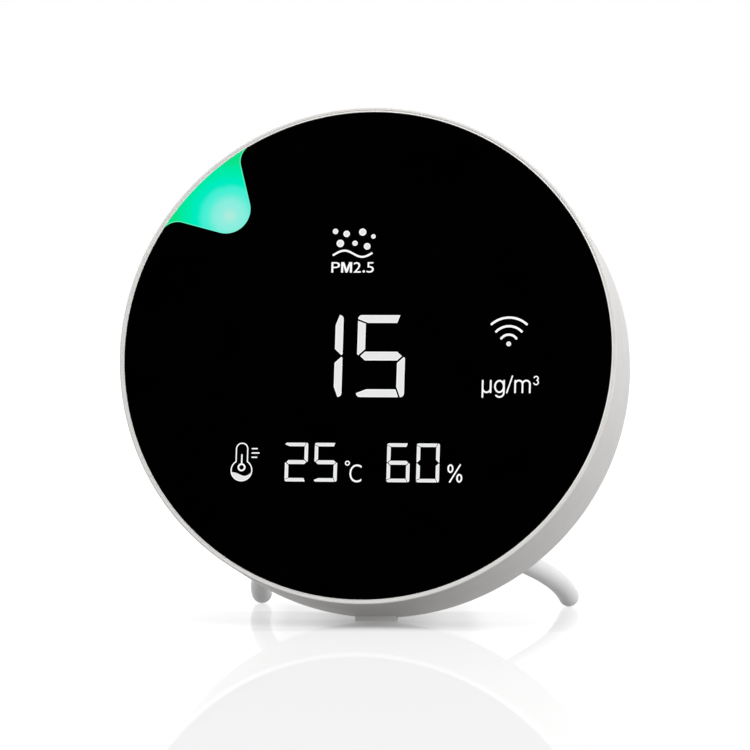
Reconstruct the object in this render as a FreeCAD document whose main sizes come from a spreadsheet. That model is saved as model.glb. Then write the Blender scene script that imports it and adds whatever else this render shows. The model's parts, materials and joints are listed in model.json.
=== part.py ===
"""Air quality monitor: a tilted round drum on a folding wire stand.

Millimetres. World frame: +Z up, the front looks towards -Y, and the origin is the middle of the base pad's
resting face. Drum parts are drawn in the drum's own frame (x right, y backwards from the front lip, z up the
face) and are then placed by the drum's tilt. The stand is drawn flat in its own plane, with its cross bar at
the origin, and is placed at the hinge.
"""

import FreeCAD, Part
import math
import os
import Sketcher

doc = FreeCAD.newDocument("air_quality_monitor")
sheet = doc.addObject("Spreadsheet::Sheet", "dims")
ORIGIN = FreeCAD.Vector(0, 0, 0)
UP = FreeCAD.Vector(0, 0, 1)
sub_parts = []


class Size:
    """A number together with the sheet formula that gives it."""

    def __init__(self, value, text):
        self.value = float(value)
        self.text = text

    def __add__(self, other):
        other = as_size(other)
        return Size(self.value + other.value, f"({self.text} + {other.text})")

    def __sub__(self, other):
        other = as_size(other)
        return Size(self.value - other.value, f"({self.text} - {other.text})")

    def __mul__(self, other):
        other = as_size(other)
        return Size(self.value * other.value, f"({self.text} * {other.text})")

    def __truediv__(self, other):
        other = as_size(other)
        return Size(self.value / other.value, f"({self.text} / {other.text})")

    def __neg__(self):
        return Size(-self.value, f"(-1 * {self.text})")

    def __rsub__(self, other):
        return as_size(other) - self

    __radd__ = __add__
    __rmul__ = __mul__


def as_size(number):
    return number if isinstance(number, Size) else Size(number, repr(float(number)))


def sine(angle):
    return Size(math.sin(math.radians(angle.value)), f"sin({angle.text})")


def cosine(angle):
    return Size(math.cos(math.radians(angle.value)), f"cos({angle.text})")


def arc_sine(ratio):
    return Size(math.degrees(math.asin(ratio.value)), f"(asin({ratio.text}) / (1 deg))")


def dims(**values):
    """Write named driving dimensions to the sheet and give them back as Sizes, in the order given."""
    sizes = []
    for alias, value in values.items():
        row = dims.next_row
        dims.next_row += 1
        sheet.set(f"A{row}", alias)
        sheet.set(f"B{row}", repr(float(value)))
        sheet.setAlias(f"B{row}", alias)
        sizes.append(Size(value, f"dims.{alias}"))
    return sizes if len(sizes) > 1 else sizes[0]


dims.next_row = 1


# ---- sketch helpers -------------------------------------------------------------------------------------

def bind(owner, path, size):
    owner.setExpression(path, as_size(size).text)


def constrain(sketch, kind, *where, size=None):
    if size is None:
        return sketch.addConstraint(Sketcher.Constraint(kind, *where))
    size = as_size(size)
    number = sketch.addConstraint(Sketcher.Constraint(kind, *where, size.value))
    bind(sketch, f"Constraints[{number}]", size)
    return number


def fix_point(sketch, geometry, end, x, z):
    constrain(sketch, "DistanceX", -1, 1, geometry, end, size=x)
    constrain(sketch, "DistanceY", -1, 1, geometry, end, size=z)


def new_sketch(body, plane, offset=0, turn=0):
    """A sketch on one of the body's own planes, moved along the plane's +Y side (XZ) or normal."""
    sketch = body.newObject("Sketcher::SketchObject", body.Name + "_sketch")
    base = [item for item in body.Origin.OriginFeatures if item.Role == plane][0]
    sketch.AttachmentSupport = [(base, "")]
    sketch.MapMode = "FlatFace"
    offset = as_size(offset)
    along = -offset if plane == "XZ_Plane" else offset
    turned = FreeCAD.Rotation(UP, turn)
    sketch.AttachmentOffset = FreeCAD.Placement(FreeCAD.Vector(0, 0, along.value), turned)
    bind(sketch, "AttachmentOffset.Base.z", along)
    return sketch


def circle(sketch, x, z, radius):
    x, z, radius = as_size(x), as_size(z), as_size(radius)
    shape = Part.Circle(FreeCAD.Vector(x.value, z.value, 0), UP, radius.value)
    number = sketch.addGeometry(shape, False)
    constrain(sketch, "Radius", number, size=radius)
    fix_point(sketch, number, 3, x, z)


def ring_of_circles(sketch, count, pitch_radius, radius, first_angle=0):
    for step in range(count):
        angle = as_size(first_angle + step * 360 / count)
        circle(sketch, pitch_radius * cosine(angle), pitch_radius * sine(angle), radius)


def polygon(sketch, points):
    """A closed outline of straight edges through the given corners."""
    corners = [(as_size(x), as_size(z)) for x, z in points]
    numbers = []
    for (x0, z0), (x1, z1) in zip(corners, corners[1:] + corners[:1]):
        edge = Part.LineSegment(
            FreeCAD.Vector(x0.value, z0.value, 0), FreeCAD.Vector(x1.value, z1.value, 0)
        )
        numbers.append(sketch.addGeometry(edge, False))
    for number, following, corner in zip(numbers, numbers[1:] + numbers[:1], corners):
        constrain(sketch, "Coincident", number, 2, following, 1)
        fix_point(sketch, number, 1, *corner)


def rectangle(sketch, x0, x1, z0, z1):
    polygon(sketch, [(x0, z0), (x1, z0), (x1, z1), (x0, z1)])


def slot(sketch, x0, x1, z, radius):
    """A horizontal round-ended slot whose end centres are (x0, z) and (x1, z)."""
    x0, x1, z, radius = (as_size(size) for size in (x0, x1, z, radius))
    right = Part.ArcOfCircle(
        Part.Circle(FreeCAD.Vector(x1.value, z.value, 0), UP, radius.value), -math.pi / 2, math.pi / 2
    )
    left = Part.ArcOfCircle(
        Part.Circle(FreeCAD.Vector(x0.value, z.value, 0), UP, radius.value), math.pi / 2, 3 * math.pi / 2
    )
    top = Part.LineSegment(
        FreeCAD.Vector(x1.value, z.value + radius.value, 0),
        FreeCAD.Vector(x0.value, z.value + radius.value, 0),
    )
    bottom = Part.LineSegment(
        FreeCAD.Vector(x0.value, z.value - radius.value, 0),
        FreeCAD.Vector(x1.value, z.value - radius.value, 0),
    )
    right, top, left, bottom = (sketch.addGeometry(edge, False) for edge in (right, top, left, bottom))
    for number, following in ((right, top), (top, left), (left, bottom), (bottom, right)):
        constrain(sketch, "Tangent", number, 2, following, 1)
    fix_point(sketch, right, 3, x1, z)
    fix_point(sketch, left, 3, x0, z)
    constrain(sketch, "Radius", right, size=radius)


# ---- solid helpers --------------------------------------------------------------------------------------

def new_body(label):
    body = doc.addObject("PartDesign::Body", label)
    body.Label = label
    return body


def feature(body, kind, name, sketch, length):
    """A Pad or Pocket that runs from the sketch plane towards +Y (XZ plane) or the plane's normal."""
    made = body.newObject("PartDesign::" + kind, body.Name + "_" + name)
    made.Profile = sketch
    on_xz = sketch.AttachmentSupport[0][0].Role == "XZ_Plane"
    made.Reversed = on_xz if kind == "Pad" else not on_xz
    bind(made, "Length", length)
    body.Tip = made
    return made


def pad(body, name, draw, start, end):
    """Add the drawn outline between the depths start and end."""
    sketch = new_sketch(body, "XZ_Plane", start)
    draw(sketch)
    return feature(body, "Pad", name, sketch, as_size(end) - start)


def pocket(body, name, draw, start, end):
    """Cut the drawn outline between the depths start and end, and check that something was cut."""
    doc.recompute()
    before = body.Shape.Volume
    sketch = new_sketch(body, "XZ_Plane", start)
    draw(sketch)
    made = feature(body, "Pocket", name, sketch, as_size(end) - start)
    doc.recompute()
    if body.Shape.Volume > before - 1e-3:
        raise RuntimeError(f"{body.Label}: {name} cuts nothing")
    return made


def revolve(body, name, points):
    """Turn an outline of (radius, depth) corners about the drum's axis."""
    sketch = new_sketch(body, "XY_Plane")
    polygon(sketch, points)
    made = body.newObject("PartDesign::Revolution", body.Name + "_" + name)
    made.Profile = sketch
    made.ReferenceAxis = (sketch, ["V_Axis"])
    made.Angle = 360
    body.Tip = made
    return made


def round_edges(body, name, radius, chosen):
    """Fillet the edges of the tip that chosen(edge) picks."""
    doc.recompute()
    tip = body.Tip
    names = [f"Edge{n}" for n, edge in enumerate(tip.Shape.Edges, 1) if chosen(edge)]
    if not names:
        raise RuntimeError(f"{body.Label}: {name} finds no edge")
    made = body.newObject("PartDesign::Fillet", body.Name + "_" + name)
    made.Base = (tip, names)
    bind(made, "Radius", radius)
    body.Tip = made
    return made


def circular(radius, depth):
    """Picks full circles of this radius about the drum's axis at this depth."""
    radius, depth = as_size(radius).value, as_size(depth).value

    def chosen(edge):
        curve = edge.Curve
        return (
            isinstance(curve, Part.Circle)
            and abs(curve.Radius - radius) < 1e-3
            and abs(curve.Center.y - depth) < 1e-3
            and math.hypot(curve.Center.x, curve.Center.z) < 1e-3
        )

    return chosen


def standing(body_x, body_z):
    """Picks straight edges that run along Y near the given corners."""
    wanted = [(as_size(x).value, as_size(z).value) for x in body_x for z in body_z]

    def chosen(edge):
        if not isinstance(edge.Curve, Part.Line):
            return False
        first, last = edge.Vertexes[0].Point, edge.Vertexes[-1].Point
        along_y = abs(first.x - last.x) < 1e-4 and abs(first.z - last.z) < 1e-4
        return along_y and any(math.hypot(first.x - x, first.z - z) < 1e-3 for x, z in wanted)

    return chosen


def block(name, x, y, z):
    """A box between the given pairs of x, y and z."""
    box = doc.addObject("Part::Box", name)
    for path, axis, (low, high) in (("Length", "x", x), ("Width", "y", y), ("Height", "z", z)):
        bind(box, path, as_size(high) - low)
        bind(box, f"Placement.Base.{axis}", low)
    return box


def rod(name, x, z, y, radius):
    """A cylinder along Y between the given pair of depths."""
    made = doc.addObject("Part::Cylinder", name)
    made.Placement = FreeCAD.Placement(ORIGIN, FreeCAD.Rotation(FreeCAD.Vector(1, 0, 0), -90))
    bind(made, "Radius", radius)
    bind(made, "Height", as_size(y[1]) - y[0])
    for axis, size in (("x", x), ("y", y[0]), ("z", z)):
        bind(made, f"Placement.Base.{axis}", size)
    return made


def fused(name, shapes):
    made = doc.addObject("Part::MultiFuse", name)
    made.Shapes = shapes
    return made


def less(name, base, tool):
    made = doc.addObject("Part::Cut", name)
    made.Base = base
    made.Tool = tool
    return made


def group(name, shapes):
    """Several separate solids kept as one sub-part."""
    made = doc.addObject("Part::Compound", name)
    made.Links = shapes
    return made


def place(part, label, y, z, tilt):
    """Name a sub-part and place it: turned back about X by tilt, then moved to (0, y, z)."""
    part.Label = label
    part.Placement = FreeCAD.Placement(ORIGIN, FreeCAD.Rotation(FreeCAD.Vector(-1, 0, 0), tilt.value))
    bind(part, "Placement.Rotation.Angle", tilt)
    bind(part, "Placement.Base.y", y)
    bind(part, "Placement.Base.z", z)
    sub_parts.append(part)


def in_drum(part, label):
    """Place a sub-part that was drawn in the drum's frame."""
    half_depth = drum_depth / 2
    place(part, label, -(half_depth * cosine(tilt)), drum_height + half_depth * sine(tilt), tilt)


# ---- driving dimensions ---------------------------------------------------------------------------------

drum_radius, drum_depth, tilt, drum_height = dims(
    drum_radius=55, drum_depth=27.3, drum_tilt=10.2, drum_height=56.9
)
wall, back_round, play = dims(wall=2, back_round=0.9, play=0.05)
lip_bore, lip_depth = dims(lip_bore_radius=54.48, lip_depth=3.65)
lens_radius, lens_front, lens_thick = dims(lens_radius=53.95, lens_front=0.15, lens_thickness=2)
trim_radius, trim_front, trim_bevel = dims(trim_radius=54.42, trim_front=0.1, trim_bevel=0.18)
tape_thick, tape_width, shelf_width, shelf_thick = dims(
    tape_thickness=0.2, tape_width=4.5, shelf_width=7, shelf_thickness=1.25
)
notch_apex, notch_nose, notch_flare, notch_side = dims(
    notch_apex_distance=34.7, notch_nose_radius=5.35, notch_flare_radius=4, notch_side_angle=30
)
lens_rounding, lip_round, lip_inner_round = dims(lens_rounding=0.12, lip_round=0.3, lip_inner_round=0.14)
guide_gap, tape_gap, rim_bore = dims(guide_gap=0.1, tape_gap=0.3, rim_bore_radius=53.3)
board_thick, chip_tall, reflector_deep = dims(board_thickness=1.2, chip_height=0.7, reflector_depth=4.05)
boss_pitch, boss_radius, boss_split = dims(boss_pitch_radius=47, boss_radius=3, boss_split_depth=14)
post_pitch, post_radius = dims(post_pitch_radius=45.5, post_radius=2.5)
screw_radius, pilot_radius, pilot_depth, shank_radius = dims(
    screw_radius=1, pilot_radius=0.85, pilot_depth=6, shank_radius=0.8
)
head_radius, head_tall, head_bore, head_seat = dims(
    screw_head_radius=1.9, screw_head_height=0.8, screw_head_bore_radius=2.4, screw_head_seat_depth=18
)
POST_ANGLE = 22.5

big_left, big_foot, big_width, big_tall, big_pitch, big_stroke = dims(
    big_digit_left=-2.45,
    big_digit_foot=-9.55,
    big_digit_width=11.4,
    big_digit_height=18.2,
    big_digit_pitch=13.8,
    big_digit_stroke=1.8,
)
small_foot, small_width, small_tall, small_pitch, small_stroke = dims(
    small_digit_foot=-28.28,
    small_digit_width=5.6,
    small_digit_height=8.64,
    small_digit_pitch=6.6,
    small_digit_stroke=0.94,
)
warm_left, damp_left, lamp_half = dims(
    temperature_digits_left=-17.5, humidity_digits_left=5.05, lamp_half_size=0.4
)
# Left, foot, width and height of the wells: dust, its label, signal, unit, thermometer, degrees, percent.
SYMBOL_WINDOWS = (
    (-8.7, 21, 11, 7.6),
    (-8.7, 17.5, 10.4, 3),
    (27, 1.4, 9, 6.8),
    (25.2, -10.2, 13.8, 6.2),
    (-29.6, -28.8, 7.4, 9.4),
    (-4.2, -28.8, 4.6, 5.2),
    (18.2, -28.8, 4.4, 5),
)
# The light box covers the three rows of the display and stays clear of the posts and the light guide.
REFLECTOR_OUTLINE = (
    (-14, 31), (-14, 11), (-32, 11), (-32, -31), (26, -31), (41, -12), (41, 11), (12, 11), (12, 31),
)

battery_half, battery_tall, battery_thick, battery_foot = dims(
    battery_half_width=27, battery_height=26, battery_thickness=7, battery_foot=-34
)
battery_pad_thick, display_board_radius = dims(battery_pad_thickness=0.6, display_board_radius=48)
main_board_radius, main_board_front, main_board_top = dims(
    main_board_radius=42, main_board_depth=16.9, main_board_top=-3
)
MAIN_POSTS = ((-30, -10), (30, -10), (-22, -32), (22, -32))
# Centre, half size and height of each chip: processor, memory, charger, regulator.
CHIPS = ((-19, -21, 3, 0.9), (-27, -22, 2, 0.8), (-13, -30, 1.5, 0.8), (20, -20, 2, 1.2))
# Each block's left, right, foot and top: the radio board and its can, then the sockets for the cables.
WIRELESS_BOARD = (-8, 8, -25.5, -17)
WIRELESS_CAN = (-6, 5, -25, -17.5)
FLEX_SOCKET = (-37, -31, -16, -13)
SENSOR_SOCKET = (10, 16, -7, -4)
BATTERY_SOCKET = (31, 35, -22.5, -17.5)
wireless_board_thick, wireless_can_tall, flex_socket_tall, lead_socket_tall = dims(
    wireless_board_thickness=0.8, wireless_can_height=1.8, flex_socket_height=1.2, lead_socket_height=1.4
)
SENSOR_CABLE_TOP = 0.6

port_z, usb_x, usb_half_width, usb_radius, usb_setback = dims(
    port_height=-10, usb_offset=-9, usb_half_width=4.5, usb_end_radius=1.65, usb_setback=0.4
)
button_x, button_radius, button_play, button_proud, button_travel = dims(
    button_offset=13, button_radius=4, button_play=0.08, button_proud=0.7, button_travel=0.4
)
plunger_radius, switch_tall, switch_well, flange_gap = dims(
    plunger_radius=1.6, switch_height=3.1, switch_well_depth=1.6, flange_gap=0.2
)
ribbon_half, lead_x, lead_z, lead_radius = dims(
    ribbon_half_thickness=0.12, lead_offset=33, lead_height=-20, lead_radius=0.9
)

sensor_half, sensor_foot, sensor_tall, case_front, case_back = dims(
    sensor_half_width=22, sensor_foot=2, sensor_height=36, sensor_case_front=13.3, sensor_case_back=24.8
)
ear_x, ear_z, ear_back, gasket_back = dims(ear_offset=24.8, ear_height=20, ear_back=22, gasket_back=25.1)
laser_radius, laser_x, laser_y, laser_foot, laser_long = dims(
    laser_radius=2.8, laser_offset=12, laser_depth=18, laser_foot=4, laser_length=9
)
climate_front, case_floor = dims(climate_sensor_front=22.5, sensor_case_floor=1.8)
optic_left, optic_right, optic_foot, optic_top, optic_play = dims(
    optic_left=4, optic_right=20, optic_foot=14, optic_top=34, optic_play=0.2
)
seal_half, seal_foot, seal_top, seal_width, seal_middle = dims(
    seal_half_width=21, seal_foot=13, seal_top=37, seal_width=1, seal_middle_half_width=1.5
)
mesh_gap, mesh_pitch = dims(mesh_gap=0.6, mesh_pitch=1.2)
MESH_ROWS = 18
fan_x, fan_z, fan_chamber_radius, fan_front = dims(
    fan_offset=-9, fan_height=21, fan_chamber_radius=11.6, fan_front=14.3
)
hub_radius, hub_wall, blade_radius, shaft_radius, blade_half = dims(
    fan_hub_radius=5.6,
    fan_hub_wall=0.6,
    fan_blade_radius=10.8,
    fan_shaft_radius=0.75,
    blade_half_thickness=0.35,
)
fan_base_radius, fan_base_thick, fan_coil_radius, fan_tube_radius = dims(
    fan_base_radius=6, fan_base_thickness=0.6, fan_coil_radius=4.2, fan_tube_radius=1.6
)
BLADES = 9
BLADE_LEAN = 22

vent_foot, vent_radius, vent_pitch, vent_near, vent_far = dims(
    vent_foot=15.2, vent_radius=0.8, vent_pitch=3.2, vent_near_end=4.2, vent_far_end=18.4
)
VENT_ROWS = 7
climate_x, climate_z, climate_half, climate_foot, climate_chip = dims(
    climate_offset=35, climate_height=15.5, climate_half_width=4, climate_foot=9, climate_chip_half_size=1.3
)
climate_vent_half, climate_vent_pitch, climate_vent_radius, climate_post_z, climate_post_radius = dims(
    climate_vent_half_length=2.2,
    climate_vent_pitch=2.4,
    climate_vent_radius=0.6,
    climate_post_height=11,
    climate_post_radius=1.5,
)
hole_play, ear_post_radius, cell_round, crown_round, clamp_round = dims(
    hole_play=0.1, ear_post_radius=2.3, cell_round=1.5, crown_round=0.5, clamp_round=2.2
)
pad_half, pad_start, pad_end, pad_sunk = dims(pad_half_width=4.5, pad_start=22.6, pad_end=26.3, pad_sunk=0.7)

hinge_gap, hinge_z, hinge_screw_pitch = dims(hinge_gap=5.5, hinge_height=-32.2, hinge_screw_pitch=5)
clamp_half_width, clamp_tall, cap_thick = dims(clamp_half_width=5.8, clamp_height=15, clamp_cap_thickness=3.8)
wire_radius, bar_half, tight_bend, wide_bend = dims(
    wire_radius=2.35, bar_half_length=7, tight_bend_radius=8.6, wide_bend_radius=36.3
)
foot_x, leg_reach, leg_heading = dims(foot_offset=36.05, leg_reach=46.4, leg_heading=33.1)
# The wide bend leaves each foot turned in by about this much; the bend's exact ends follow from its tangents.
FOOT_HEADING = 3

lens_back = lens_front + lens_thick
shelf_front = lens_back + tape_thick
shelf_back = shelf_front + shelf_thick
shell_bore = drum_radius - wall
inner_back = drum_depth - wall
display_board_front = lens_back + reflector_deep
display_board_back = display_board_front + board_thick
guide_back = display_board_front - chip_tall - guide_gap
battery_front = display_board_back + battery_pad_thick
main_board_back = main_board_front + board_thick
usb_end = drum_depth - usb_setback
switch_top = main_board_back + switch_tall
flange_back = inner_back - flange_gap
stem_foot = switch_top + 1.4
chamber_floor = case_back - case_floor
sensor_top = sensor_foot + sensor_tall


# ---- front: lens, light guide, tape and frame -----------------------------------------------------------

NOTCH_TURN = 45


def arc(sketch, centre_x, centre_z, radius, start, end):
    """An arc of fixed centre and radius; start and end are only first guesses at its ends, in degrees."""
    middle = FreeCAD.Vector(centre_x.value, centre_z.value, 0)
    ends = [math.radians(angle) for angle in (start, end)]
    number = sketch.addGeometry(Part.ArcOfCircle(Part.Circle(middle, UP, radius.value), *ends), False)
    constrain(sketch, "Radius", number, size=radius)
    fix_point(sketch, number, 3, centre_x, centre_z)
    return number


def line(sketch, x0, z0, x1, z1):
    ends = FreeCAD.Vector(x0, z0, 0), FreeCAD.Vector(x1, z1, 0)
    return sketch.addGeometry(Part.LineSegment(*ends), False)


def notch_outline(sketch, grow, rim):
    """The corner notch: a V with a round nose and flared mouth, open at the rim, larger all round by grow."""
    nose_radius = notch_nose + grow
    nose_z = notch_apex + notch_nose / sine(notch_side)
    flare_radius = notch_flare - grow
    flare_reach = lens_radius + 0.1 - notch_flare
    swing = notch_side - arc_sine((notch_apex * sine(notch_side) - notch_flare) / flare_reach)
    flare_x, flare_z = flare_reach * sine(swing), flare_reach * cosine(swing)
    mouth_x = (flare_reach + flare_radius) * sine(swing)
    mouth_z = (flare_reach + flare_radius) * cosine(swing)
    side = notch_side.value
    tan_x, tan_z = math.cos(math.radians(side)), math.sin(math.radians(side))
    nose = arc(sketch, as_size(0), nose_z, nose_radius, 180 + side, 360 - side)
    cap = line(sketch, -mouth_x.value, rim.value, mouth_x.value, rim.value)
    for hand in (1, -1):
        angles = (90 - swing.value, 180 - side) if hand == 1 else (side, 90 + swing.value)
        flare = arc(sketch, flare_x * hand, flare_z, flare_radius, *angles)
        edge = line(
            sketch,
            hand * nose_radius.value * tan_x,
            nose_z.value - nose_radius.value * tan_z,
            hand * (flare_x.value - flare_radius.value * tan_x),
            flare_z.value + flare_radius.value * tan_z,
        )
        wing = line(sketch, hand * mouth_x.value, mouth_z.value, hand * mouth_x.value, rim.value)
        near_nose, near_side, near_mouth, near_cap = (2, 2, 1, 2) if hand == 1 else (1, 1, 2, 1)
        constrain(sketch, "Tangent", nose, near_nose, edge, 1)
        constrain(sketch, "Tangent", edge, 2, flare, near_side)
        constrain(sketch, "Coincident", flare, near_mouth, wing, 1)
        constrain(sketch, "DistanceX", -1, 1, wing, 1, size=mouth_x * hand)
        constrain(sketch, "Vertical", wing)
        constrain(sketch, "Coincident", wing, 2, cap, near_cap)
    constrain(sketch, "Horizontal", cap)
    constrain(sketch, "DistanceY", -1, 1, cap, 1, size=rim)


def notch_feature(body, kind, name, start, end, grow, rim):
    sketch = new_sketch(body, "XZ_Plane", start, NOTCH_TURN)
    notch_outline(sketch, as_size(grow), as_size(rim))
    return feature(body, kind, name, sketch, as_size(end) - start)


def outside(radius):
    """Draws everything outside a circle, out to a square well clear of the drum."""

    def draw(sketch):
        reach = drum_radius + 5
        circle(sketch, 0, 0, radius)
        rectangle(sketch, -reach, reach, -reach, reach)

    return draw


def make_front_lens():
    body = new_body("lens_body")
    pad(body, "disc", lambda sketch: circle(sketch, 0, 0, lens_radius), lens_front, lens_back)
    notch_feature(body, "Pocket", "notch", lens_front, lens_back, 0, drum_radius)
    round_edges(body, "rim", lens_rounding, circular(lens_radius, lens_front))
    in_drum(body, "front_lens")


def make_light_guide():
    """Fills the lens notch and reaches back through the frame to the glow lamps."""
    body = new_body("guide_body")
    notch_feature(body, "Pad", "window", lens_front, lens_back, -play, drum_radius)
    pocket(body, "window_rim", outside(lens_radius), lens_front, lens_back)
    notch_feature(body, "Pad", "stem", lens_back, guide_back, -play, drum_radius)
    pocket(body, "stem_rim", outside(shell_bore - guide_gap), lens_back, guide_back)
    in_drum(body, "light_guide")


def make_lens_tape():
    body = new_body("tape_body")

    def ring(sketch):
        circle(sketch, 0, 0, lens_radius)
        circle(sketch, 0, 0, lens_radius - tape_width)

    pad(body, "ring", ring, lens_back, shelf_front)
    notch_feature(body, "Pocket", "notch", lens_back, shelf_front, tape_gap, drum_radius)
    in_drum(body, "lens_tape")


def make_front_frame():
    """The ring that carries the lens, with a thin bevelled rim round it and bosses behind."""
    body = new_body("frame_body")
    shelf_inner = lens_radius - shelf_width
    revolve(
        body,
        "shelf",
        [
            (shelf_inner, shelf_front),
            (rim_bore + play, shelf_front),
            (rim_bore + play, shelf_back),
            (shelf_inner, shelf_back),
        ],
    )
    notch_feature(body, "Pocket", "notch", shelf_front, shelf_back, guide_gap, drum_radius)
    revolve(
        body,
        "rim",
        [
            (lens_radius + play, trim_front),
            (trim_radius - trim_bevel, trim_front),
            (trim_radius, trim_front + trim_bevel),
            (trim_radius, shelf_back),
            (rim_bore, shelf_back),
            (rim_bore, shelf_front),
            (lens_radius + play, shelf_front),
        ],
    )

    def bosses(sketch):
        ring_of_circles(sketch, 4, boss_pitch, boss_radius)

    def posts(sketch):
        ring_of_circles(sketch, 4, post_pitch, post_radius, POST_ANGLE)

    def boss_pilots(sketch):
        ring_of_circles(sketch, 4, boss_pitch, pilot_radius)

    def post_pilots(sketch):
        ring_of_circles(sketch, 4, post_pitch, pilot_radius, POST_ANGLE)

    pad(body, "bosses", bosses, shelf_front, boss_split)
    pad(body, "posts", posts, shelf_front, display_board_front)
    pocket(body, "boss_pilots", boss_pilots, boss_split - pilot_depth, boss_split)
    pocket(body, "post_pilots", post_pilots, shelf_back, display_board_front)
    in_drum(body, "front_frame")


# ---- display: reflector, lamps and board ----------------------------------------------------------------

def digit_segments(x, z, width, height, stroke):
    """Seven bars of one digit whose lower left corner is (x, z), each as (x0, x1, z0, z1)."""
    half = height / 2
    inset = stroke * 0.6
    bars = []
    for level in (0, 1, 2):
        low = z + (half - stroke / 2) * level
        bars.append((x + inset + 0.2, x + width - inset - 0.2, low, low + stroke))
    for column in (0, 1):
        left = x + (width - stroke) * column
        for level in (0, 1):
            low = z + half * level
            bars.append((left, left + stroke, low + stroke + 0.1, low + half - stroke * 0.7))
    return bars


def display_windows():
    """Every lit area of the display: the bars of seven digits, then the symbols."""
    windows = []
    for step in range(3):
        left = big_left - big_pitch * step
        windows += digit_segments(left, big_foot, big_width, big_tall, big_stroke)
    for first in (warm_left, damp_left):
        for step in range(2):
            left = first + small_pitch * step
            windows += digit_segments(left, small_foot, small_width, small_tall, small_stroke)
    for left, foot, width, tall in SYMBOL_WINDOWS:
        windows.append((as_size(left), as_size(left + width), as_size(foot), as_size(foot + tall)))
    return windows


def make_display():
    """The white light box with a well for each lit area, and one lamp in each well."""
    body = new_body("reflector_blank")
    pad(body, "blank", lambda sketch: polygon(sketch, REFLECTOR_OUTLINE), lens_back, display_board_front)
    wells = []
    lamps = []
    lamp_front = display_board_front - chip_tall
    for number, (x0, x1, z0, z1) in enumerate(display_windows(), 1):
        wells.append(block(f"well_{number}", (x0, x1), (lens_back - 1, display_board_front + 1), (z0, z1)))
        middle_x, middle_z = (x0 + x1) / 2, (z0 + z1) / 2
        lamps.append(
            block(
                f"segment_lamp_{number}",
                (middle_x - lamp_half, middle_x + lamp_half),
                (lamp_front, display_board_front),
                (middle_z - lamp_half, middle_z + lamp_half),
            )
        )
    in_drum(less("reflector", body, group("wells", wells)), "display_reflector")
    in_drum(group("segment_lamps", lamps), "segment_leds")


def make_glow_lamps():
    """Three colour lamps behind the light guide: one on its centre line and one each side."""
    lamps = []
    for number, (reach, side) in enumerate(((44, 0), (47.5, 4), (47.5, -4)), 1):
        diagonal = math.sqrt(0.5)
        x, z = (-reach + side) * diagonal, (reach + side) * diagonal
        lamps.append(
            block(
                f"glow_lamp_{number}",
                (x - 0.8, x + 0.8),
                (display_board_front - chip_tall, display_board_front),
                (z - 0.8, z + 0.8),
            )
        )
    in_drum(group("glow_lamps", lamps), "glow_leds")


def make_display_board():
    body = new_body("display_board_body")
    pad(
        body,
        "disc",
        lambda sketch: circle(sketch, 0, 0, display_board_radius),
        display_board_front,
        display_board_back,
    )

    def boss_gaps(sketch):
        ring_of_circles(sketch, 4, boss_pitch, boss_radius + 0.4)

    def holes(sketch):
        ring_of_circles(sketch, 4, post_pitch, screw_radius + hole_play, POST_ANGLE)

    pocket(body, "boss_gaps", boss_gaps, display_board_front, display_board_back)
    pocket(body, "holes", holes, display_board_front, display_board_back)
    in_drum(body, "display_board")


# ---- power and control ----------------------------------------------------------------------------------

def plate(name, x, y, z):
    """A body holding one rectangular pad between the given pairs of x, y and z."""
    body = new_body(name)
    pad(body, "blank", lambda sketch: rectangle(sketch, x[0], x[1], z[0], z[1]), y[0], y[1])
    return body


def make_battery():
    pad_body = plate("battery_pad_body", (-22, 22), (display_board_back, battery_front), (-31, -11))
    in_drum(pad_body, "battery_pad")
    cell = plate(
        "battery_body",
        (-battery_half, battery_half),
        (battery_front, battery_front + battery_thick),
        (battery_foot, battery_foot + battery_tall),
    )
    corners = standing((-battery_half, battery_half), (battery_foot, battery_foot + battery_tall))
    round_edges(cell, "corners", cell_round, corners)
    in_drum(cell, "battery_cell")


def make_main_board():
    body = new_body("main_board_body")
    pad(
        body,
        "disc",
        lambda sketch: circle(sketch, 0, 0, main_board_radius),
        main_board_front,
        main_board_back,
    )

    def upper_half(sketch):
        reach = main_board_radius + 1
        rectangle(sketch, -reach, reach, main_board_top, reach)

    def holes(sketch):
        for x, z in MAIN_POSTS:
            circle(sketch, x, z, screw_radius + hole_play)

    pocket(body, "upper_half", upper_half, main_board_front, main_board_back)
    pocket(body, "holes", holes, main_board_front, main_board_back)
    in_drum(body, "main_board")


def footprint(name, edges, y0, y1):
    """A block between two depths, over an area given by its left, right, foot and top."""
    left, right, foot, top = edges
    return block(name, (left, right), (y0, y1), (foot, top))


def make_board_parts():
    back = main_board_back
    can_foot = back + wireless_board_thick
    module = fused(
        "wireless",
        [
            footprint("wireless_base", WIRELESS_BOARD, back, can_foot),
            footprint("wireless_can", WIRELESS_CAN, can_foot, can_foot + wireless_can_tall),
        ],
    )
    in_drum(module, "wireless_module")
    chips = []
    for number, (x, z, half, tall) in enumerate(CHIPS, 1):
        chips.append(block(f"chip_{number}", (x - half, x + half), (back, back + tall), (z - half, z + half)))
    in_drum(group("chips", chips), "control_chips")
    front = main_board_front
    sockets = [
        footprint("display_socket", FLEX_SOCKET, display_board_back, display_board_back + flex_socket_tall),
        footprint("flex_socket", FLEX_SOCKET, front - flex_socket_tall, front),
        footprint("sensor_socket", SENSOR_SOCKET, front - lead_socket_tall, front),
        footprint("battery_socket", BATTERY_SOCKET, front - lead_socket_tall, front),
    ]
    in_drum(group("sockets", sockets), "board_connectors")


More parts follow.
